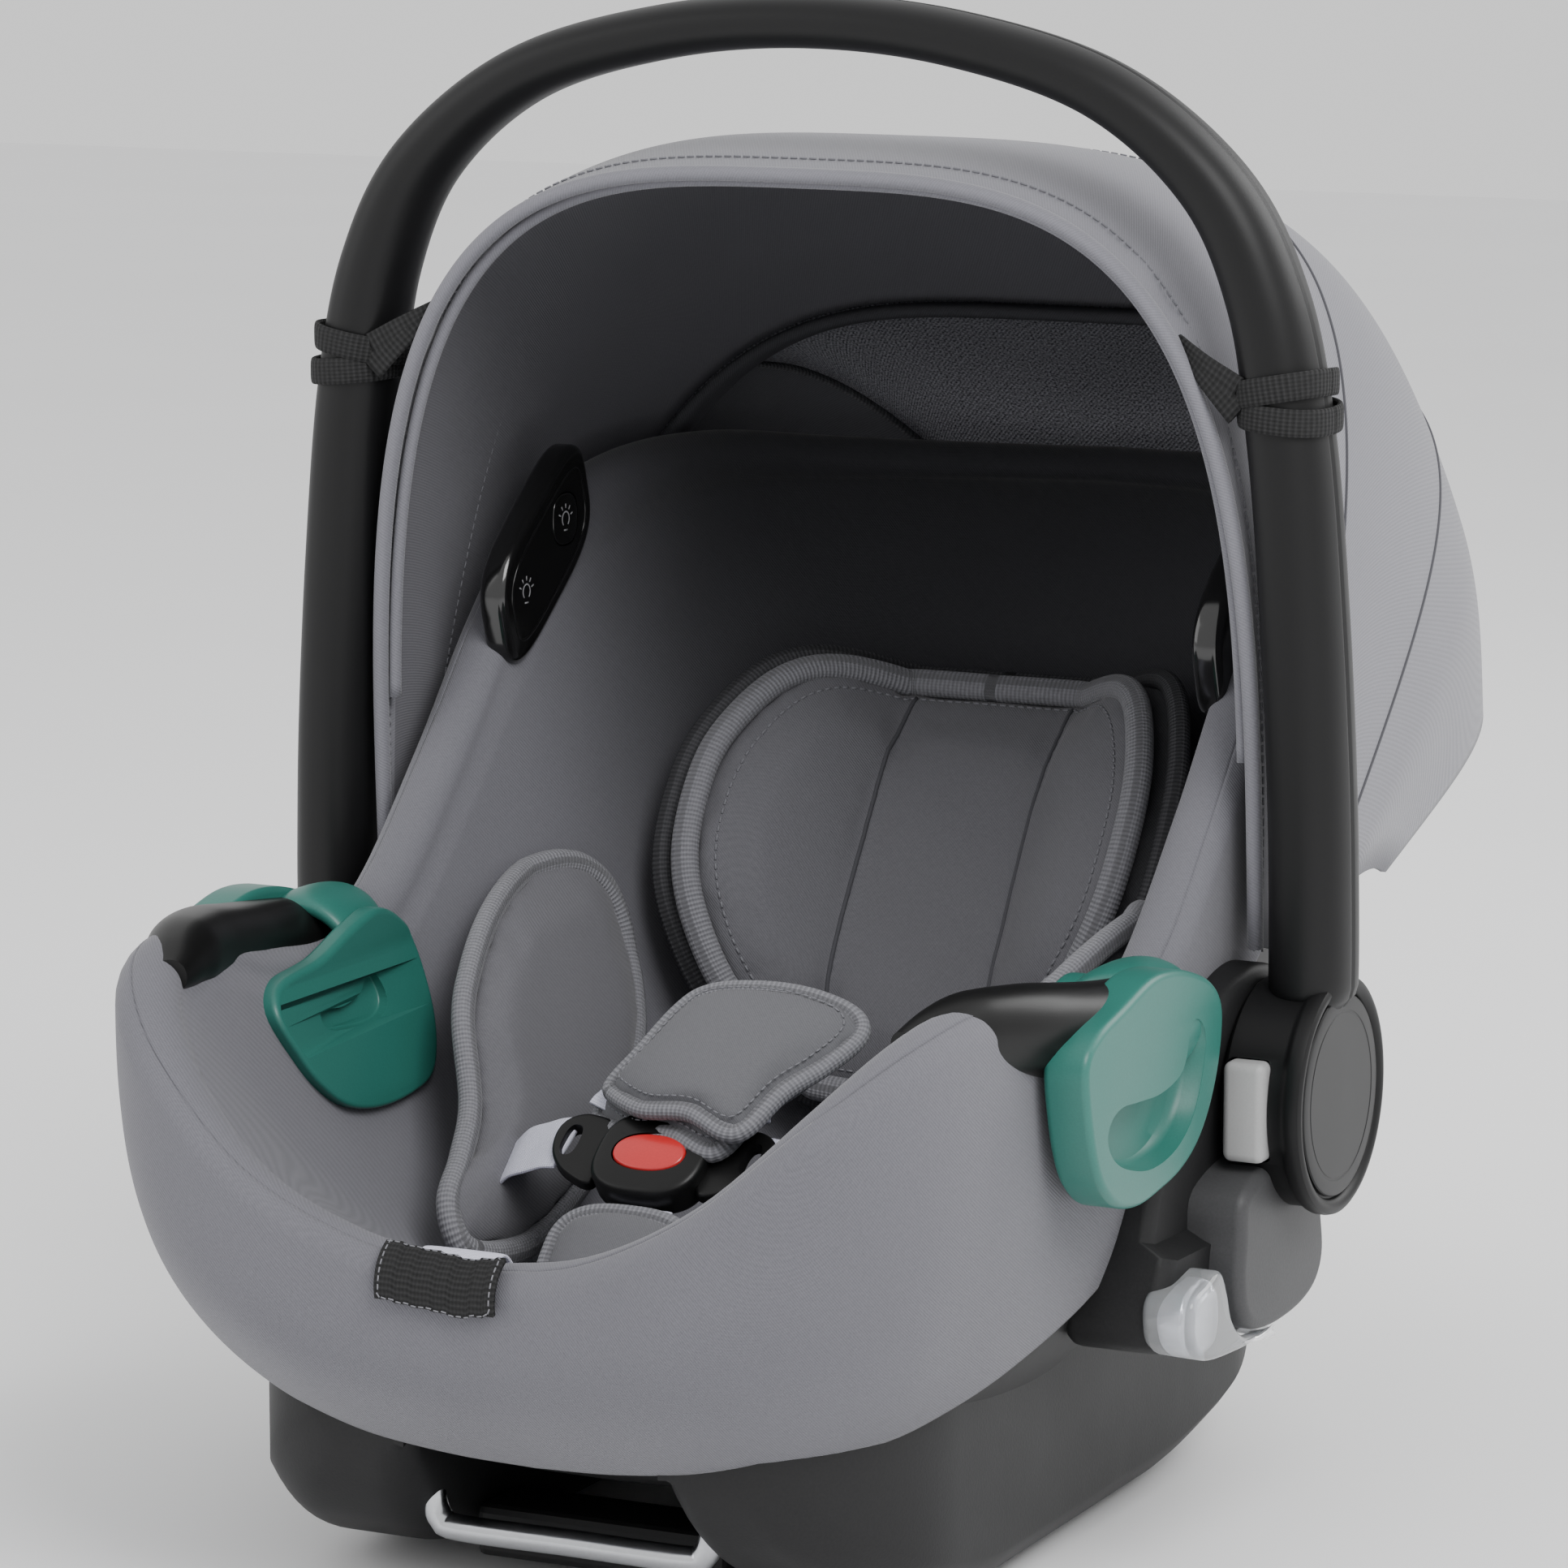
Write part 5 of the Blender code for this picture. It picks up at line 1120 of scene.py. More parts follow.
def makeStitchTree():
    # row of thread stitches along a polyline, with named inputs
    tree = bpy.data.node_groups.new("stitchRow", "GeometryNodeTree")
    face = tree.interface
    face.new_socket(name="Geometry", in_out="INPUT", socket_type="NodeSocketGeometry")
    pitch = face.new_socket(name="Pitch", in_out="INPUT", socket_type="NodeSocketFloat")
    pitch.default_value = 0.004
    length = face.new_socket(name="Stitch Length", in_out="INPUT", socket_type="NodeSocketFloat")
    length.default_value = 0.0026
    thick = face.new_socket(name="Thread", in_out="INPUT", socket_type="NodeSocketFloat")
    thick.default_value = 0.00045
    face.new_socket(name="Material", in_out="INPUT", socket_type="NodeSocketMaterial")
    face.new_socket(name="Geometry", in_out="OUTPUT", socket_type="NodeSocketGeometry")
    start = tree.nodes.new("NodeGroupInput")
    end = tree.nodes.new("NodeGroupOutput")
    curve = tree.nodes.new("GeometryNodeMeshToCurve")
    spaced = tree.nodes.new("GeometryNodeResampleCurve")
    spaced.mode = "LENGTH"
    tree.links.new(start.outputs["Geometry"], curve.inputs["Mesh"])
    tree.links.new(curve.outputs["Curve"], spaced.inputs["Curve"])
    tree.links.new(start.outputs["Pitch"], spaced.inputs["Length"])
    tangent = tree.nodes.new("GeometryNodeInputTangent")
    turn = tree.nodes.new("FunctionNodeAlignRotationToVector")
    turn.axis = "Z"
    tree.links.new(tangent.outputs["Tangent"], turn.inputs["Vector"])
    body = tree.nodes.new("GeometryNodeMeshCylinder")
    body.inputs["Vertices"].default_value = 8
    body.inputs["Side Segments"].default_value = 2
    tree.links.new(start.outputs["Thread"], body.inputs["Radius"])
    tree.links.new(start.outputs["Stitch Length"], body.inputs["Depth"])
    place = tree.nodes.new("GeometryNodeInstanceOnPoints")
    tree.links.new(spaced.outputs["Curve"], place.inputs["Points"])
    tree.links.new(body.outputs["Mesh"], place.inputs["Instance"])
    tree.links.new(turn.outputs["Rotation"], place.inputs["Rotation"])
    real = tree.nodes.new("GeometryNodeRealizeInstances")
    tree.links.new(place.outputs["Instances"], real.inputs["Geometry"])
    paint = tree.nodes.new("GeometryNodeSetMaterial")
    tree.links.new(real.outputs["Geometry"], paint.inputs["Geometry"])
    tree.links.new(start.outputs["Material"], paint.inputs["Material"])
    tree.links.new(paint.outputs["Geometry"], end.inputs["Geometry"])
    return tree


stitchTree = makeStitchTree()
stitchIds = {item.name: item.identifier for item in stitchTree.interface.items_tree
             if item.in_out == "INPUT"}


def stitchRow(name, lines, mat, pitch=0.0042, length=0.0027, thread=0.00045):
    # stitches along one or more polylines given from the pivot axis
    verts = []
    edges = []
    for line in lines:
        first = len(verts)
        verts += [tuple(np.asarray(p) + pivot) for p in line]
        edges += [(first + k, first + k + 1) for k in range(len(line) - 1)]
    mesh = bpy.data.meshes.new(name)
    mesh.from_pydata(verts, edges, [])
    holder = bpy.data.objects.new(name + "Line", mesh)
    bpy.context.scene.collection.objects.link(holder)
    mod = holder.modifiers.new("stitches", "NODES")
    mod.node_group = stitchTree
    mod[stitchIds["Pitch"]] = pitch
    mod[stitchIds["Stitch Length"]] = length
    mod[stitchIds["Thread"]] = thread
    mod[stitchIds["Material"]] = mat
    holder.update_tag()
    graph = bpy.context.evaluated_depsgraph_get()
    result = bpy.data.meshes.new_from_object(holder.evaluated_get(graph))
    bpy.data.objects.remove(holder)
    return showPiece(name, result)


def meshEdge(arch):
    # rear edge of the mesh panel, lowest beside the shoulders
    away = np.abs(arch - 0.5)
    return smoothLine((0.0, 0.05, 0.075, 0.115, 0.155, 0.195, 0.235, 0.5),
                      (0.900, 0.855, 0.820, 0.765, 0.718, 0.680, 0.655, 0.650), away)


def innerPanel(name, first, last, mat, lift):
    # cloth panel lying on the canopy's inner face between two turns
    arches = canopyArches(220)[2:-2]
    share = np.linspace(0.0, 1.0, 50)[:, None]
    turn = first(arches) + (last(arches) - first(arches)) * share
    arch = np.broadcast_to(arches, turn.shape)
    slack = canopyTension(turn, arch) + canopyLook["skin"]
    top = canopyPoint(turn, arch, slack + 0.0002)
    under = canopyPoint(turn, arch, slack + lift)
    blendCanopy(showPiece(name, shellMesh(name, top, under), mat))


def makeCanopyTrim():
    look = {"roll": 0.0034, "stitchTurn": 0.030, "seamTurn": 0.30}
    edge = archPath(0.0, 0.0014, 180)
    canopyStrand("visorRoll", edge, look["roll"], 0.0030, canopyMat, 2.2, 16)
    lines = [archPath(look["stitchTurn"], canopyLook["skin"] + 0.0004, 400),
             archPath(look["stitchTurn"] + 0.004, -0.0003, 400)]
    obj = stitchRow("visorStitches", lines, threadMat, 0.0040, 0.0028, 0.00040)
    blendCanopy(obj)
    inner = archPath(canopyLook["arch"], canopyLook["skin"] + 0.0070, 160, 0.03, 0.97)
    canopyStrand("canopyRib", inner, 0.0085, 0.0032, rearLiningMat, 2.6, 16)
    innerPanel("meshPanel", lambda a: 0.0 * a + canopyLook["arch"], meshEdge, meshMat, 0.0010)
    innerPanel("rearPanel", meshEdge, lambda a: 0.0 * a + 0.985, rearLiningMat, 0.0012)
    arches = canopyArches(260)[6:-6]
    edge = canopyPoint(meshEdge(arches), arches,
                       canopyTension(meshEdge(arches), arches) + canopyLook["skin"] + 0.0014)
    canopyStrand("meshBinding", edge, 0.0036, 0.0014, darkBindingMat, 2.6, 14)
    seam = archPath(look["seamTurn"], canopyLook["skin"] + 0.0002, 300)
    obj = stitchRow("liningStitches", [seam], threadMat, 0.0040, 0.0028, 0.00035)
    blendCanopy(obj)
    for name, flat in (("panelSeamFront", 0.36), ("panelSeamRear", 0.68)):
        line = canopyPoint(np.full(240, flat), canopyArches(240),
                           canopyTension(flat, canopyArches(240)) - 0.0001)
        canopyStrand(name, line, 0.0008, 0.0006, seamMat, 2.0, 8)
    hoop = archPath(0.016, 0.0064, 150, 0.03, 0.97)
    hoop[:, 2] = np.maximum(hoop[:, 2], 0.050)
    mesh = loftMesh("canopyHoop", sweep(hoop, (0.0, 1.0, 0.0), 0.0024, 0.0024, 16, 2.0))
    finishPiece("canopyHoop", mesh, canopyMat, "canopy", ["canopy_hoop"])


canopy = makeCanopy()
makeCanopyTrim()
print("canopy made")


# padded pieces

backPlace = np.array([0.0, 0.1473, 0.0214])
backUp = np.array([0.0, 0.561, 0.828])
backOut = np.array([0.0, -0.828, 0.561])
panelHalf = 0.036
panelTurn = 0.768


def pillowMesh(name, outline, place, thickness, edge, rows=22, ripple0=0.0006, seed=1):
    # stuffed sheet over an outline, thick in the middle; place(u, v, lift) gives the point
    outline = np.asarray(outline, float)
    middle = outline.mean(axis=0)
    scale = np.linspace(0.03, 1.0, rows)
    top = np.zeros((rows, len(outline), 3))
    under = np.zeros_like(top)
    for i, s in enumerate(scale):
        full = math.sqrt(max(1.0 - s ** 5, 0.0))
        for j, (u, v) in enumerate(middle + (outline - middle) * s):
            wave = ripple0 * math.sin(90.0 * u + seed) * math.sin(80.0 * v + 2.0 * seed) * full
            top[i, j] = place(u, v, edge + (thickness - edge) * full + wave)
            under[i, j] = place(u, v, 0.0)
    return shellMesh(name, top, under, wrap=True, capCentre=True)


def inflate(obj, look):
    # cloth pressure fills the pad; movement is capped so that it keeps its place
    start = obj.data.copy()
    remesh = obj.modifiers.new("even", "REMESH")
    remesh.mode = "VOXEL"
    remesh.voxel_size = look.get("voxel", 0.005)
    graph = bpy.context.evaluated_depsgraph_get()
    mesh = bpy.data.meshes.new_from_object(obj.evaluated_get(graph))
    obj.modifiers.clear()
    obj.data = mesh
    before = np.array([v.co for v in mesh.vertices])
    cloth = obj.modifiers.new("fill", "CLOTH")
    cloth.settings.quality = 5
    cloth.settings.mass = 0.2
    cloth.settings.tension_stiffness = 18.0
    cloth.settings.compression_stiffness = 14.0
    cloth.settings.bending_stiffness = 0.8
    cloth.settings.use_pressure = True
    cloth.settings.uniform_pressure_force = look.get("pressure", 4.0)
    cloth.settings.effector_weights.gravity = 0.0
    cloth.point_cache.frame_start = 1
    cloth.point_cache.frame_end = 20
    scene = bpy.context.scene
    for frameNumber in range(1, 21):
        scene.frame_set(frameNumber)
    graph = bpy.context.evaluated_depsgraph_get()
    result = bpy.data.meshes.new_from_object(obj.evaluated_get(graph))
    after = np.array([v.co for v in result.vertices])
    obj.modifiers.clear()
    scene.frame_set(1)
    if len(after) == len(before):
        move = after - before
        far = np.linalg.norm(move, axis=1)
        cap = look.get("cap", 0.006)
        scaleDown = np.where(far > cap, cap / np.maximum(far, 1e-9), 1.0)
        spot = before + move * scaleDown[:, None]
        mesh.vertices.foreach_set("co", spot.astype(np.float32).ravel())
    bpy.data.meshes.remove(result)
    smooth = obj.modifiers.new("finer", "SUBSURF")
    smooth.levels = 1
    smooth.render_levels = 1
    graph = bpy.context.evaluated_depsgraph_get()
    final = bpy.data.meshes.new_from_object(obj.evaluated_get(graph))
    obj.modifiers.clear()
    obj.data = final
    final.polygons.foreach_set("use_smooth", [True] * len(final.polygons))
    bpy.data.meshes.remove(start)


def makePad(name, mesh, mat, body, nodes, look):
    obj = bpy.data.objects.new(name, mesh)
    bpy.context.scene.collection.objects.link(obj)
    inflate(obj, look)
    mesh = obj.data
    mesh.materials.clear()
    mesh.materials.append(mat)
    mesh.polygons.foreach_set("use_smooth", [True] * len(mesh.polygons))
    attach(obj, body)
    if nodes:
        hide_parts(*nodes)
    look.get("fill", 0.6)
    return obj


def tapeAlong(name, points, halfSide, halfUp, body, closed=True, mat=None, side=(0.0, 0.0, 1.0),
              around=14):
    # bound edge that runs along points given from the pivot axis
    rings = sweep(points, side, halfSide, halfUp, around, 2.3, closed)
    mesh = loftMesh(name, rings, closed)
    return finishPiece(name, mesh, mat or bindingMat, body, [])


def roundOutline(centre, halfX, halfY, power, count=120):
    a = np.linspace(0.0, 2 * math.pi, count, endpoint=False)
    x = halfX * np.sign(np.cos(a)) * np.abs(np.cos(a)) ** (2 / power)
    y = halfY * np.sign(np.sin(a)) * np.abs(np.sin(a)) ** (2 / power)
    return np.stack([centre[0] + x, centre[1] + y], axis=1)


def onSurface(obj, points, out, lift):
    # points moved along out onto the face of a finished piece
    graph = bpy.context.evaluated_depsgraph_get()
    tree = BVHTree.FromObject(obj, graph)
    out = Vector(out).normalized()
    reach = 0.03
    result = []
    for point in points:
        start = Vector(point) + Vector(pivot)
        hit = tree.ray_cast(start + out * reach, -out, 2.0 * reach)[0]
        place = hit if hit else start
        result.append(np.array(place + out * lift) - pivot)
    return result


def sidePanel(x):
    # across, forward reach and turn of a point x metres along the folded headrest
    far = abs(x)
    bend = 0.024
    radius = bend / panelTurn
    if far < panelHalf:
        across, ahead, turn = far, 0.0, 0.0
    else:
        turn = min((far - panelHalf) / radius, panelTurn)
        rest = max(far - panelHalf - bend, 0.0)
        across = panelHalf + radius * math.sin(turn) + rest * math.cos(turn)
        ahead = radius * (1.0 - math.cos(turn)) + rest * math.sin(turn)
    return math.copysign(across, x), ahead, math.copysign(turn, x)


def backPoint(x, s, lift):
    across, ahead, turn = sidePanel(x)
    face = backOut * math.cos(turn) - np.array([math.sin(turn), 0.0, 0.0])
    return backPlace + np.array([across, 0.0, 0.0]) + backUp * s + backOut * ahead + face * lift


def shieldOutline(width, top, bottom):
    half = [(0.0, 0.096), (0.05, 0.0955), (0.088, 0.0905), (0.111, 0.077), (0.127, 0.052),
            (0.1345, 0.026), (0.133, -0.010), (0.120, -0.038), (0.095, -0.064),
            (0.055, -0.083), (0.0, -0.088)]
    scaled = [(x * width, s * (top if s > 0 else bottom)) for x, s in half]
    return np.array(closedOutline(scaled + [(-x, s) for x, s in scaled[1:-1]][::-1], 150))


def makeHeadrest():
    look = {"voxel": 0.005, "pressure": 3.0, "cap": 0.005, "fill": 0.6}
    outline = shieldOutline(1.030, 1.10, 1.0)

    def boardPlace(x, s, lift):
        return backPoint(x, s, 0.0030 + lift)

    mesh = pillowMesh("headrestPad", outline, boardPlace, 0.0125, 0.007, 22, 0.0, 1)
    makePad("headrestPad", mesh, headrestMat, "headrest", ["headrest_pad"],
            {**look, "cap": 0.0025})
    edge = [backPoint(x, s, 0.0085) for x, s in outline]
    tapeAlong("headrestBinding", edge, 0.0040, 0.0046, "headrest", mat=darkBindingMat,
              side=tuple(backOut))

    outline = shieldOutline(1.0, 1.0, 1.0)

    def insertPlace(x, s, lift):
        return backPoint(x, s, 0.0190 + lift)

    mesh = pillowMesh("headInsert", outline, insertPlace, 0.014, 0.005, 26, 0.0005, 3)
    insert = makePad("headInsert", mesh, insertMat, "headrest", ["head_insert"],
                     look)
    edge = [insertPlace(x, s, 0.0045) for x, s in outline]
    tapeAlong("insertBinding", edge, 0.0044, 0.0058, "headrest", side=tuple(backOut))
    inside = [insertPlace(x * 0.93, s * 0.915, 0.012) for x, s in outline]
    inside = onSurface(insert, inside, backOut, 0.0002)
    obj = stitchRow("insertStitches", [inside + inside[:1]], threadMat, 0.0040, 0.0026, 0.00045)
    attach(obj, "headrest")
    for sign, label in ((-1, "left"), (1, "right")):
        seam = [insertPlace(sign * (0.047 + 0.05 * s), s, 0.014)
                for s in np.linspace(-0.080, 0.088, 80)]
        seam = onSurface(insert, seam, backOut, -0.0002)
        tapeAlong("insertSeam_" + label, seam, 0.0011, 0.0009, "headrest", closed=False,
                  mat=seamMat, side=tuple(backOut), around=8)


def makeWing(side, label):
    look = {"voxel": 0.005, "pressure": 3.0, "cap": 0.004, "fill": 0.55}
    outline = [(-0.150, -0.060), (-0.1506, -0.0436), (-0.1281, -0.0307), (-0.1045, -0.0148),
               (-0.083, 0.013), (-0.062, 0.0282), (-0.0335, 0.0424), (-0.0023, 0.0520),
               (0.0260, 0.0550), (0.0450, 0.0500), (0.0560, 0.0380), (0.0580, 0.0200),
               (0.0500, 0.0020), (0.030, -0.018), (-0.010, -0.040), (-0.060, -0.056),
               (-0.110, -0.066)]
    outline = np.array(closedOutline(outline, 150))

    def place(y, z, lift):
        x = min(0.066 + 0.525 * (z + 0.075), wallReach(y, z) - 0.0045)
        return np.array([side * (x - 0.885 * lift), y, z + 0.465 * lift])

    mesh = pillowMesh("wing", outline, place, 0.012, 0.005, 20, 0.0005, 5)
    name = "insert_wing_" + label
    makePad(name + "_v", mesh, insertMat, "seat", [name], look)
    edge = [place(y, z, 0.0035) for y, z in outline]
    tapeAlong("wingBinding_" + label, edge, 0.0044, 0.0054, "seat", side=(1.0, 0.0, 0.0))


def floorHeight(x, y):
    hit = coverTree.ray_cast(Vector((x, y, 0.5)), Vector((0.0, 0.0, -1.0)))[0]
    return hit.z if hit else 0.0


def makeSeatInsert():
    look = {"voxel": 0.005, "pressure": 3.0, "cap": 0.004, "fill": 0.5}
    outline = roundOutline((0.0, -0.112), 0.052, 0.064, 3.2, 120)

    def place(x, y, lift):
        z = floorHeight(x, y)
        ahead = floorHeight(x, y + 0.004) - floorHeight(x, y - 0.004)
        slope = Vector((0.0, -ahead, 0.008)).normalized()
        return np.array([x, y, z]) + np.array(slope) * (0.0022 + lift)

    mesh = pillowMesh("seatInsert", outline, place, 0.0078, 0.004, 18, 0.0004, 7)
    makePad("seatInsert", mesh, insertMat, "seat", ["seat_insert"], look)
    edge = [place(x, y, 0.0030) for x, y in outline]
    tapeAlong("seatInsertBinding", edge, 0.0032, 0.0036, "seat")


makeHeadrest()
for side, label in ((-1, "left"), (1, "right")):
    makeWing(side, label)
makeSeatInsert()
print("headrest, insert and wings made")


# harness

buckleOrigin = np.array([0.0, -0.134, -0.021])
buckleUp = np.array([0.0, 0.80, 0.60])
buckleOut = np.array([0.0, -0.60, 0.80])


def bucklePoint(u, v, lift):
    return buckleOrigin + np.array([u, 0.0, 0.0]) + buckleUp * v + buckleOut * lift


def strap(name, path, side, halfWidth, nodes):
    halfThick = 0.0009
    mesh = loftMesh(name, sweep(spline(path, 60), side, halfWidth, halfThick, 20, 5.0))
    return finishPiece(name, mesh, webbingMat, "seat", nodes)


def plateMesh(name, outline, low, high, ease, dome=0.0):
    # flat part in the buckle plane with rounded edges and an optional domed face
    outline = np.asarray(outline, float)
    middle = outline.mean(axis=0)
    far = np.linalg.norm(outline - middle, axis=1, keepdims=True)
    rings = []
    steps = [math.radians(a) for a in (0, 22, 45, 67, 90)]
    for a in steps:
        inset = ease * (1.0 - math.sin(a))
        rings.append((low + ease * (1.0 - math.cos(a)), middle + (outline - middle)
                      * (1.0 - inset / far)))
    for a in reversed(steps):
        inset = ease * (1.0 - math.sin(a))
        rings.append((high - ease * (1.0 - math.cos(a)), middle + (outline - middle)
                      * (1.0 - inset / far)))
    for scale in (0.85, 0.6, 0.35, 0.1):
        rings.append((high + dome * (1.0 - scale ** 2), middle + (outline - middle)
                      * scale * (1.0 - ease / far)))
    rings = [[bucklePoint(u, v, lift) for u, v in ring] for lift, ring in rings]
    return loftMesh(name, rings)


def makeBuckle():
    look = {"ease": 0.0028}
    body = roundOutline((0.0, 0.0), 0.0228, 0.0200, 2.8)
    housing = plateMesh("housing", body, -0.0065, 0.0078, look["ease"], 0.0010)
    well = plateMesh("well", roundOutline((0.0, -0.0010), 0.0152, 0.0092, 2.2), 0.0001, 0.014,
                     0.0004)
    housing = booleanMesh(housing, well, "DIFFERENCE")
    obj = finishPiece("buckleHousing", housing, blackMat, "seat", ["buckle_housing"])
    creaseByAngle(obj, 32.0)
    button = plateMesh("button", roundOutline((0.0, -0.0010), 0.0147, 0.0087, 2.2), 0.0032,
                       0.0088, 0.0012, 0.0009)
    finishPiece("buckleButton", button, redMat, "buckle_button", ["buckle_button"])
    for side, label in ((-1, "left"), (1, "right")):
        outline = [(0.0, side * u, v) for u, v in
                   ((0.0215, -0.012), (0.034, -0.010), (0.043, -0.001), (0.0455, 0.010),
                    (0.042, 0.0175), (0.033, 0.020), (0.0215, 0.014))]
        outline = spline(outline, 80, loop=True)[:, 1:]
        tongue = plateMesh("tongue", outline, -0.0038, 0.0020, 0.0018)
        gap = np.array([(side * 0.0375, 0.006)]) + roundOutline((0.0, 0.0), 0.0035, 0.0075, 2.6)
        hole = plateMesh("hole", gap, -0.01, 0.01, 0.0003)
        tongue = booleanMesh(tongue, hole, "DIFFERENCE")
        name = "buckle_tongue_" + label
        obj = finishPiece(name + "_v", tongue, blackMat, "seat", [name])
        creaseByAngle(obj, 35.0)
        path = [bucklePoint(side * 0.024, 0.0205, 0.0000),
                bucklePoint(side * 0.022, 0.026, 0.0008),
                bucklePoint(side * 0.018, 0.036, 0.0002),
                bucklePoint(0.012 + side * 0.013, 0.052, -0.004),
                bucklePoint(0.016 + side * 0.010, 0.072, -0.0075)]
        name = "shoulder_strap_" + label
        strap(name + "_v", path, (1.0, 0.0, 0.0), 0.0150, [name])
        path = [(side * 0.0400, -0.1275, -0.0180), (side * 0.0480, -0.1250, -0.0195),
                (side * 0.0560, -0.1220, -0.0225), (side * 0.0660, -0.1180, -0.0265),
                (side * 0.0740, -0.1140, -0.0330)]
        name = "lap_strap_" + label
        strap(name + "_v", path, (0.0, 0.80, 0.60), 0.0125, [name])


def makeShoulderPads():
    look = {"voxel": 0.004, "pressure": 3.0, "cap": 0.003, "fill": 0.6}
    upper = [(-0.0251, 0.0254), (-0.0074, 0.0153), (0.0135, 0.0139), (0.0300, 0.0075),
             (0.0370, 0.0110), (0.0441, 0.0300), (0.0542, 0.0475), (0.0605, 0.0655),
             (0.0560, 0.0745), (0.0397, 0.0775), (0.0165, 0.0765), (-0.0031, 0.0735),
             (-0.0115, 0.0650), (-0.0200, 0.0450), (-0.0275, 0.0310)]
    upper = np.array(closedOutline(upper, 130))
    lower = upper * np.array([0.96, 0.97]) + np.array([-0.0080, -0.0035])
    for label, outline, lift0, seed in (("left", lower, 0.0052, 2.0), ("right", upper, 0.0138,
                                                                       3.0)):
        def place(u, v, lift):
            bow = -5.0 * (u - 0.016) ** 2 - 1.2 * (v - 0.045) ** 2
            return bucklePoint(u, v, lift0 + lift + bow)

        mesh = pillowMesh("pad", outline, place, 0.0085, 0.0040, 18, 0.0003, seed)
        name = "shoulder_pad_" + label
        makePad(name + "_v", mesh, padMat, "seat", [name], look)
        edge = [place(u, v, 0.0030) for u, v in outline]
        tapeAlong("padBinding_" + label, edge, 0.0032, 0.0038, "seat", side=tuple(buckleOut))
        inside = (outline - outline.mean(axis=0)) * 0.90 + outline.mean(axis=0)
        line = [place(u, v, 0.0078) for u, v in inside]
        obj = stitchRow("padStitches_" + label, [line + line[:1]], threadMat, 0.0034, 0.0022,
                        0.00035)
        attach(obj, "seat")


def makeCrotchPad():
    look = {"voxel": 0.004, "pressure": 2.5, "cap": 0.003, "fill": 0.6}
    ahead = np.array([0.0, 0.70, 0.71])
    raised = np.array([0.0, -0.71, 0.70])
    outline = roundOutline((0.0, 0.0), 0.0275, 0.0185, 3.2, 100)

    def place(u, v, lift):
        bow = -4.0 * u * u
        return np.array([u, -0.166, -0.0515]) + ahead * v + raised * (0.0016 + lift + bow)

    mesh = pillowMesh("crotchPad", outline, place, 0.0085, 0.0035, 16, 0.0002, 9)
    makePad("crotchPad", mesh, padMat, "seat", ["crotch_pad"], look)
    edge = [place(u, v, 0.0028) for u, v in outline]
    tapeAlong("crotchBinding", edge, 0.0030, 0.0036, "seat", side=tuple(raised))
    strap("crotchStrap", [(0.0, -0.1772, -0.0629), (0.0, -0.1660, -0.0515),
                          (0.0, -0.1548, -0.0401), (0.0, -0.1500, -0.0345)],
          (1.0, 0.0, 0.0), 0.0150, ["crotch_strap"])


def makeAdjuster():
    look = {"patchHalf": 0.0235, "shift": 0.009}
    path = [(-0.006, y, floorHeight(0.0, y) + 0.0022) for y in (-0.185, -0.205, -0.225, -0.245,
                                                               -0.256)]
    path += [(-0.008, -0.272 - 0.0148 * math.cos(math.radians(a)),
              -0.040 + 0.0148 * math.sin(math.radians(a))) for a in (118.0, 92.0, 66.0, 44.0)]
    strap("adjusterStrap", path, (1.0, 0.0, 0.0), 0.0160, ["adjuster_strap"])
    turns = np.radians(np.linspace(66.0, -14.0, 40))
    xs = np.linspace(-look["patchHalf"], look["patchHalf"], 30) - look["shift"]
    top = np.zeros((len(xs), len(turns), 3))
    under = np.zeros_like(top)
    for i, x in enumerate(xs):
        near = np.argmin(np.abs(rim[:40, 0] - abs(x)))
        base = rim[near].copy()
        base[0] = x
        for j, a in enumerate(turns):
            direction = np.array([0.0, -math.cos(a), math.sin(a)])
            top[i, j] = base + direction * (lip + 0.0048)
            under[i, j] = base + direction * (lip + 0.0030)
    mesh = shellMesh("strapPatch", top, under)
    finishPiece("strapPatch", mesh, elasticMat, "seat", ["strap_patch"])
    border = list(top[1:-1, 1]) + list(top[-2, 2:-1]) + list(top[1:-1, -2][::-1]) \
        + list(top[1, 1:-2][::-1])
    obj = stitchRow("patchStitches", [border + border[:1]], threadMat, 0.0030, 0.0020, 0.0003)
    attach(obj, "seat")


makeBuckle()
makeShoulderPads()
makeCrotchPad()
makeAdjuster()
print("harness made")


# light panels, elastic loops and under-seat parts

def panelOutline(grow):
    count = 100
    middle = np.array([0.064, 0.1760])
    along = np.array([0.80, 0.60])
    across = np.array([-0.30, 0.954])
    a = np.linspace(0.0, 2 * math.pi, count, endpoint=False)
    u = (0.045 + grow) * np.sign(np.cos(a)) * np.abs(np.cos(a)) ** 0.55
    v = (0.0245 + grow) * np.sign(np.sin(a)) * np.abs(np.sin(a)) ** 0.55
    return [tuple(middle + along * p + across * q) for p, q in zip(u, v)]


def lampMark(side, y, z, x, size):
    # small generic lamp: bulb, socket and rays, drawn as fine lines
    lines = []
    bulb = [(side * x, y + size * math.cos(a), z + size * math.sin(a))
            for a in np.radians(np.linspace(-50.0, 230.0, 24))]
    lines.append(bulb)
    lines.append([(side * x, y - size * 0.5, z - size * 1.5),
                  (side * x, y + size * 0.5, z - size * 1.5)])
    for a in np.radians((20.0, 55.0, 90.0, 125.0, 160.0)):
        lines.append([(side * x, y + size * 1.5 * math.cos(a), z + size * 1.5 * math.sin(a)),
                      (side * x, y + size * 2.1 * math.cos(a), z + size * 2.1 * math.sin(a))])
    return lines


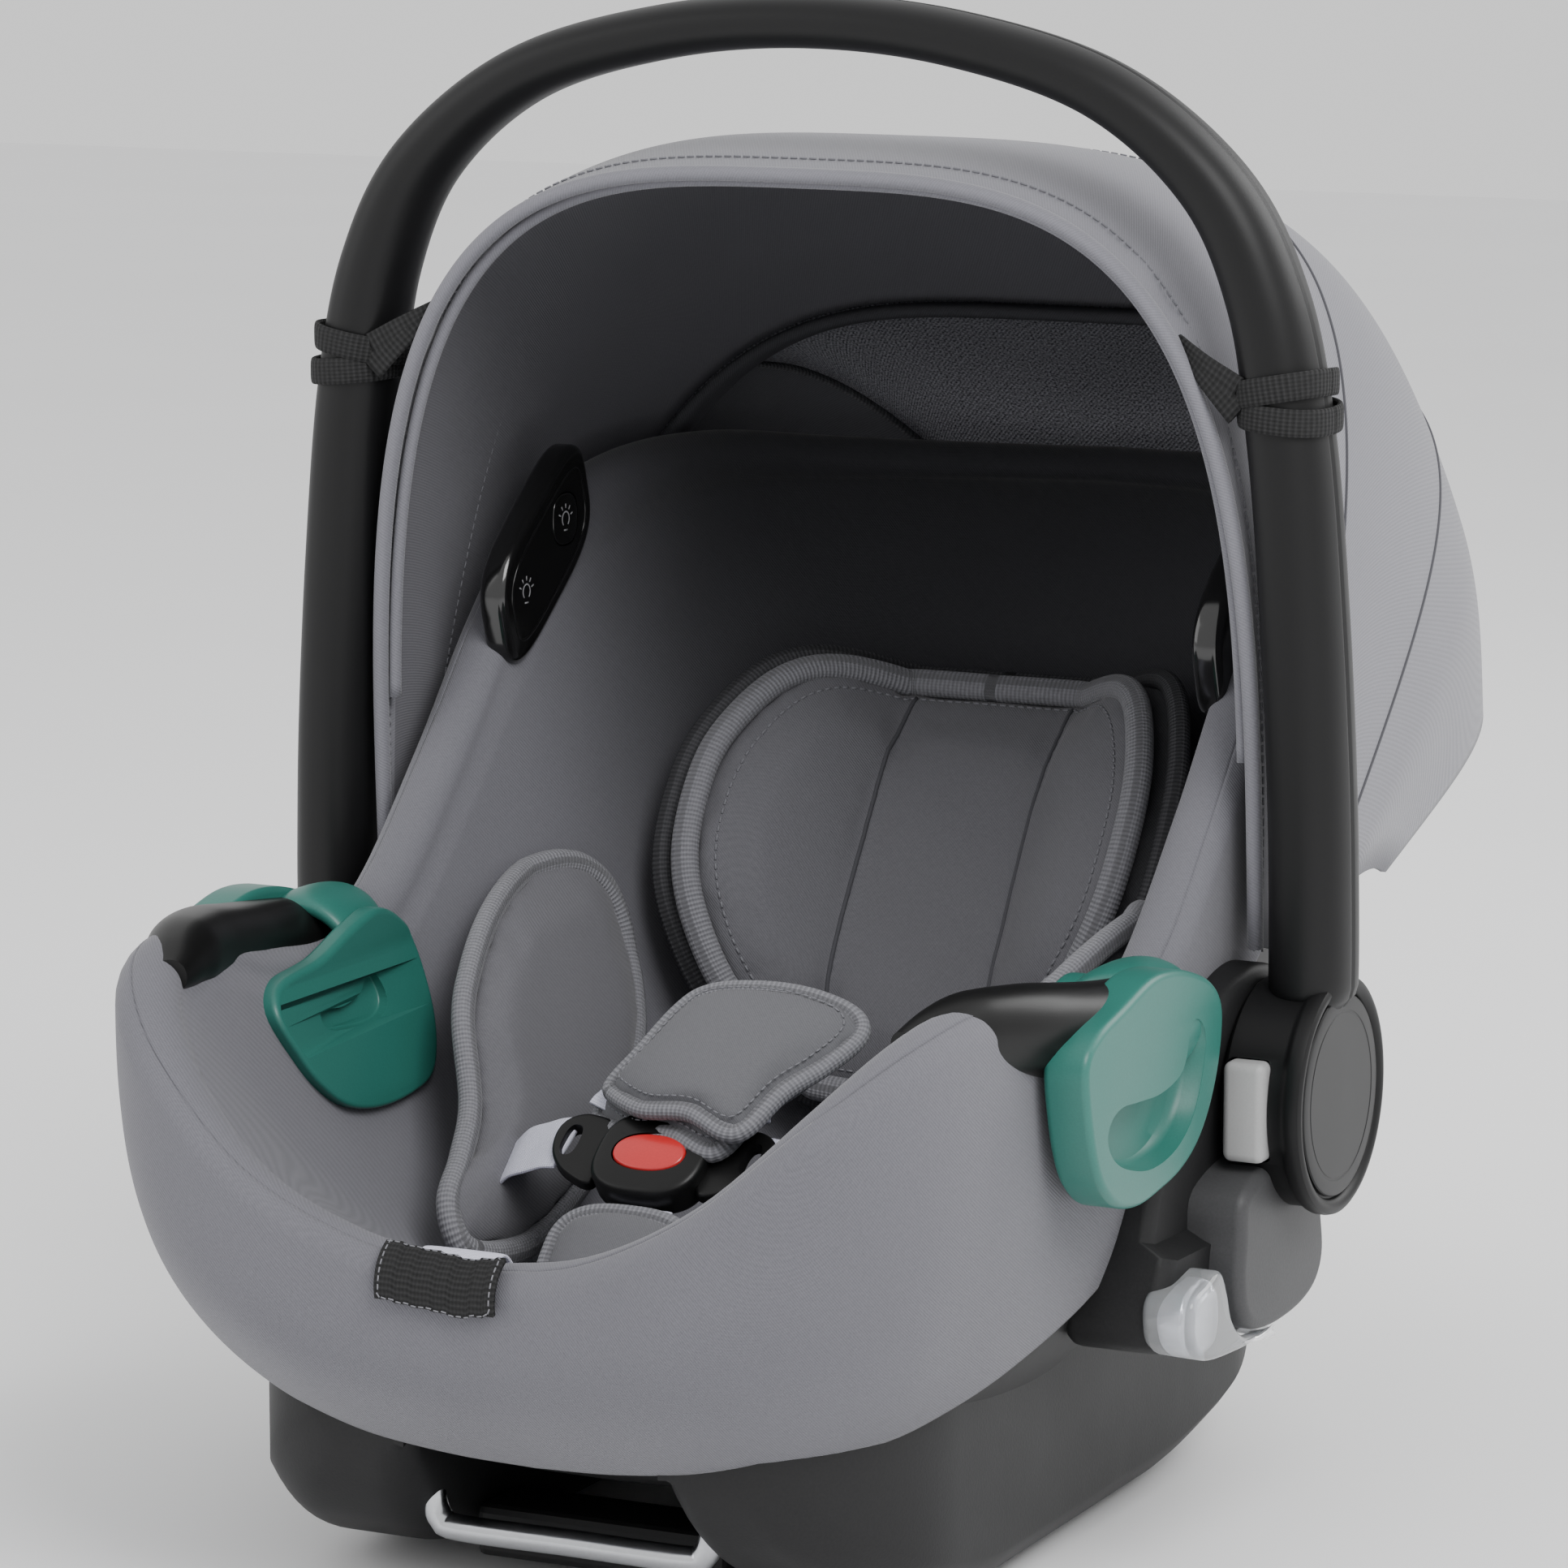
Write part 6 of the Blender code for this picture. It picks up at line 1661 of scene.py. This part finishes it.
def printedLines(name, lines, radius, body):
    verts = []
    faces = []
    for line in lines:
        line = np.asarray(line, float)
        steps = sweep(line, (1.0, 0.0, 0.0), radius * 0.4, radius, 8, 2.0)
        first = len(verts)
        verts += list(steps.reshape(-1, 3))
        faces += ringFaces(len(line), 8, True, first)
        faces.append(tuple(first + k for k in range(8)))
        last = first + (len(line) - 1) * 8
        faces.append(tuple(last + k for k in range(8)))
    mesh = buildMesh(name, verts, faces)
    return finishPiece(name, mesh, printMat, body, [])


def makeLight(side, label):
    keyOutline = [tuple(p) for p in roundOutline((0.078, 0.1885), 0.0105, 0.0105, 2.6, 80)]
    well = [tuple(p) for p in roundOutline((0.078, 0.1885), 0.0110, 0.0110, 2.6, 80)]
    low, high = sorted((side * 0.1476, side * 0.1600))
    mesh = outlineSolid("panel", [panelOutline(0.0)], low, high, 0.0035, 5)
    a, b = sorted((side * 0.1400, side * 0.1515))
    mesh = booleanMesh(mesh, outlineSolid("well", [well], a, b, 0.0001, 0), "DIFFERENCE")
    name = "light_panel_" + label
    obj = finishPiece(name + "_v", mesh, glossMat, "seat", [name])
    creaseByAngle(obj, 30.0)
    low, high = sorted((side * 0.1474, side * 0.1500))
    mesh = outlineSolid("key", [keyOutline], low, high, 0.0006, 3)
    name = "light_key_" + label
    obj = finishPiece(name + "_v", mesh, glossMat, name, [name])
    creaseByAngle(obj, 30.0)
    printedLines("lampMarkUpper_" + label, lampMark(side, 0.078, 0.1885, 0.14735, 0.0030),
                 0.00032, name)
    printedLines("lampMarkLower_" + label, lampMark(side, 0.044, 0.1630, 0.14750, 0.0030),
                 0.00032, "seat")
    ridge = np.array(panelOutline(-0.0075))
    ridge = [(side * 0.14755, y, z) for y, z in ridge]
    rings = sweep(ridge, (1.0, 0.0, 0.0), 0.0003, 0.0007, 8, 2.0, True)
    mesh = loftMesh("panelRidge", rings, True)
    finishPiece("panelRidge_" + label, mesh, glossMat, "seat", [])


def makeLoop(side, label):
    look = {"halfWidth": 0.0052, "thick": 0.0013}
    centreX = side * 0.1962
    for wrap, rise, lean in ((0, 0.2565, 0.08), (1, 0.2660, -0.18)):
        angle = np.linspace(0.0, 2 * math.pi, 120, endpoint=False)
        path = []
        for a in angle:
            c = math.copysign(abs(math.cos(a)) ** (2 / 2.35), math.cos(a))
            d = math.copysign(abs(math.sin(a)) ** (2 / 2.35), math.sin(a))
            z = rise + lean * 0.018 * (-c * side) + 0.006 * lean * d
            x = centreX + 0.0173 * c - side * 0.19 * (rise - 0.262)
            path.append((x, 0.0213 * d, z))
        path = np.array(path)
        rings = sweep(path, (0.0, 0.0, 1.0), look["halfWidth"], look["thick"], 26, 3.5, True)
        mesh = loftMesh("loop", rings, True)
        name = "elastic_loop_" + label
        finishPiece(name + "_v" + str(wrap), mesh, elasticMat, "handle",
                    [name] if wrap == 0 else [])
    # short ends that run from the visor's edge towards the arm
    tip = canopyPoint(np.array([0.010]), np.array([0.5 + side * 0.262]), 0.001)[0]
    for order, goalZ in ((0, 0.2575), (1, 0.2665)):
        goal = np.array([side * 0.1830, -0.0175, goalZ])
        path = spline([tip, (tip * 0.5 + goal * 0.5) + np.array([0.0, -0.002, 0.0]), goal], 24)
        width = np.linspace(0.0028, look["halfWidth"], 24)
        rings = sweep(path, (0.0, 0.0, 1.0), width, 0.0011, 16, 3.0)
        mesh = loftMesh("end", rings)
        finishPiece("elasticEnd_" + label + str(order), mesh, elasticMat, "canopy", [])


def paintFrame():
    # hidden or plain CAD parts that stay as they are get finished surfaces
    finishes = {"foam_liner": foamMat, "bar_crossmember": shellMat, "pivot_pin_left": steelMat,
                "pivot_pin_right": steelMat, "adjuster_housing": shellMat,
                "adjuster_button": buttonMat, "release_housing": shellMat,
                "base_release_lever": buttonMat}
    for name, mat in finishes.items():
        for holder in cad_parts[name].material_slots:
            holder.material = mat


for side, label in ((-1, "left"), (1, "right")):
    makeLight(side, label)
    makeLoop(side, label)
paintFrame()
print("light panels, loops and CAD finishes made")


# stage

def makeStage():
    look = {"half": 6.0, "drop": 0.0006}
    floor = bpy.data.meshes.new("floor")
    half = look["half"]
    floor.from_pydata([(-half, -half, -look["drop"]), (half, -half, -look["drop"]),
                       (half, half, -look["drop"]), (-half, half, -look["drop"])], [],
                      [(0, 1, 2, 3)])
    obj = bpy.data.objects.new("floor", floor)
    bpy.context.scene.collection.objects.link(obj)
    mat = bpy.data.materials.new("paleFloor")
    mat.use_nodes = True
    tree = mat.node_tree
    shader = tree.nodes["Principled BSDF"]
    shader.inputs["Roughness"].default_value = 0.75
    coords = tree.nodes.new("ShaderNodeTexCoord")
    noise = tree.nodes.new("ShaderNodeTexNoise")
    noise.inputs["Scale"].default_value = 3.0
    tree.links.new(coords.outputs["Object"], noise.inputs["Vector"])
    blend = tree.nodes.new("ShaderNodeMix")
    blend.data_type = "RGBA"
    blend.inputs["A"].default_value = (0.90, 0.90, 0.905, 1.0)
    blend.inputs["B"].default_value = (0.94, 0.94, 0.945, 1.0)
    tree.links.new(noise.outputs["Fac"], blend.inputs["Factor"])
    tree.links.new(blend.outputs["Result"], shader.inputs["Base Color"])
    floor.materials.append(mat)
    world = bpy.data.worlds.new("studio")
    bpy.context.scene.world = world
    world.use_nodes = True
    back = world.node_tree.nodes["Background"]
    back.inputs["Color"].default_value = (1.0, 1.0, 1.0, 1.0)
    back.inputs["Strength"].default_value = 1.0


def addLight(name, place, aim, size, power):
    data = bpy.data.lights.new(name, "AREA")
    data.size = size
    data.energy = power
    obj = bpy.data.objects.new(name, data)
    bpy.context.scene.collection.objects.link(obj)
    obj.location = place
    obj.rotation_euler = (Vector(aim) - Vector(place)).to_track_quat("-Z", "Y").to_euler()


def makeCamera():
    look = {"azimuth": 25.7, "elevation": 9.787, "distance": 2.4994, "lens": 149.07}
    a = math.radians(look["azimuth"])
    e = math.radians(look["elevation"])
    target = Vector((0.0, -0.0237, 0.106)) + Vector(pivot)
    back = Vector((math.sin(a) * math.cos(e), -math.cos(a) * math.cos(e), math.sin(e)))
    data = bpy.data.cameras.new("camera")
    data.lens = look["lens"]
    data.sensor_width = 36.0
    obj = bpy.data.objects.new("camera", data)
    bpy.context.scene.collection.objects.link(obj)
    obj.location = target + back * look["distance"]
    obj.rotation_euler = (-back).to_track_quat("-Z", "Y").to_euler()
    bpy.context.scene.camera = obj


makeStage()
addLight("keyLight", (1.6, -1.2, 2.2), (0.0, 0.0, 0.28), 1.4, 52.0)
addLight("fillLight", (-2.0, -1.4, 1.2), (0.0, 0.0, 0.25), 1.8, 14.0)
addLight("rimLight", (1.2, 1.8, 1.6), (0.0, 0.1, 0.30), 1.4, 24.0)
makeCamera()
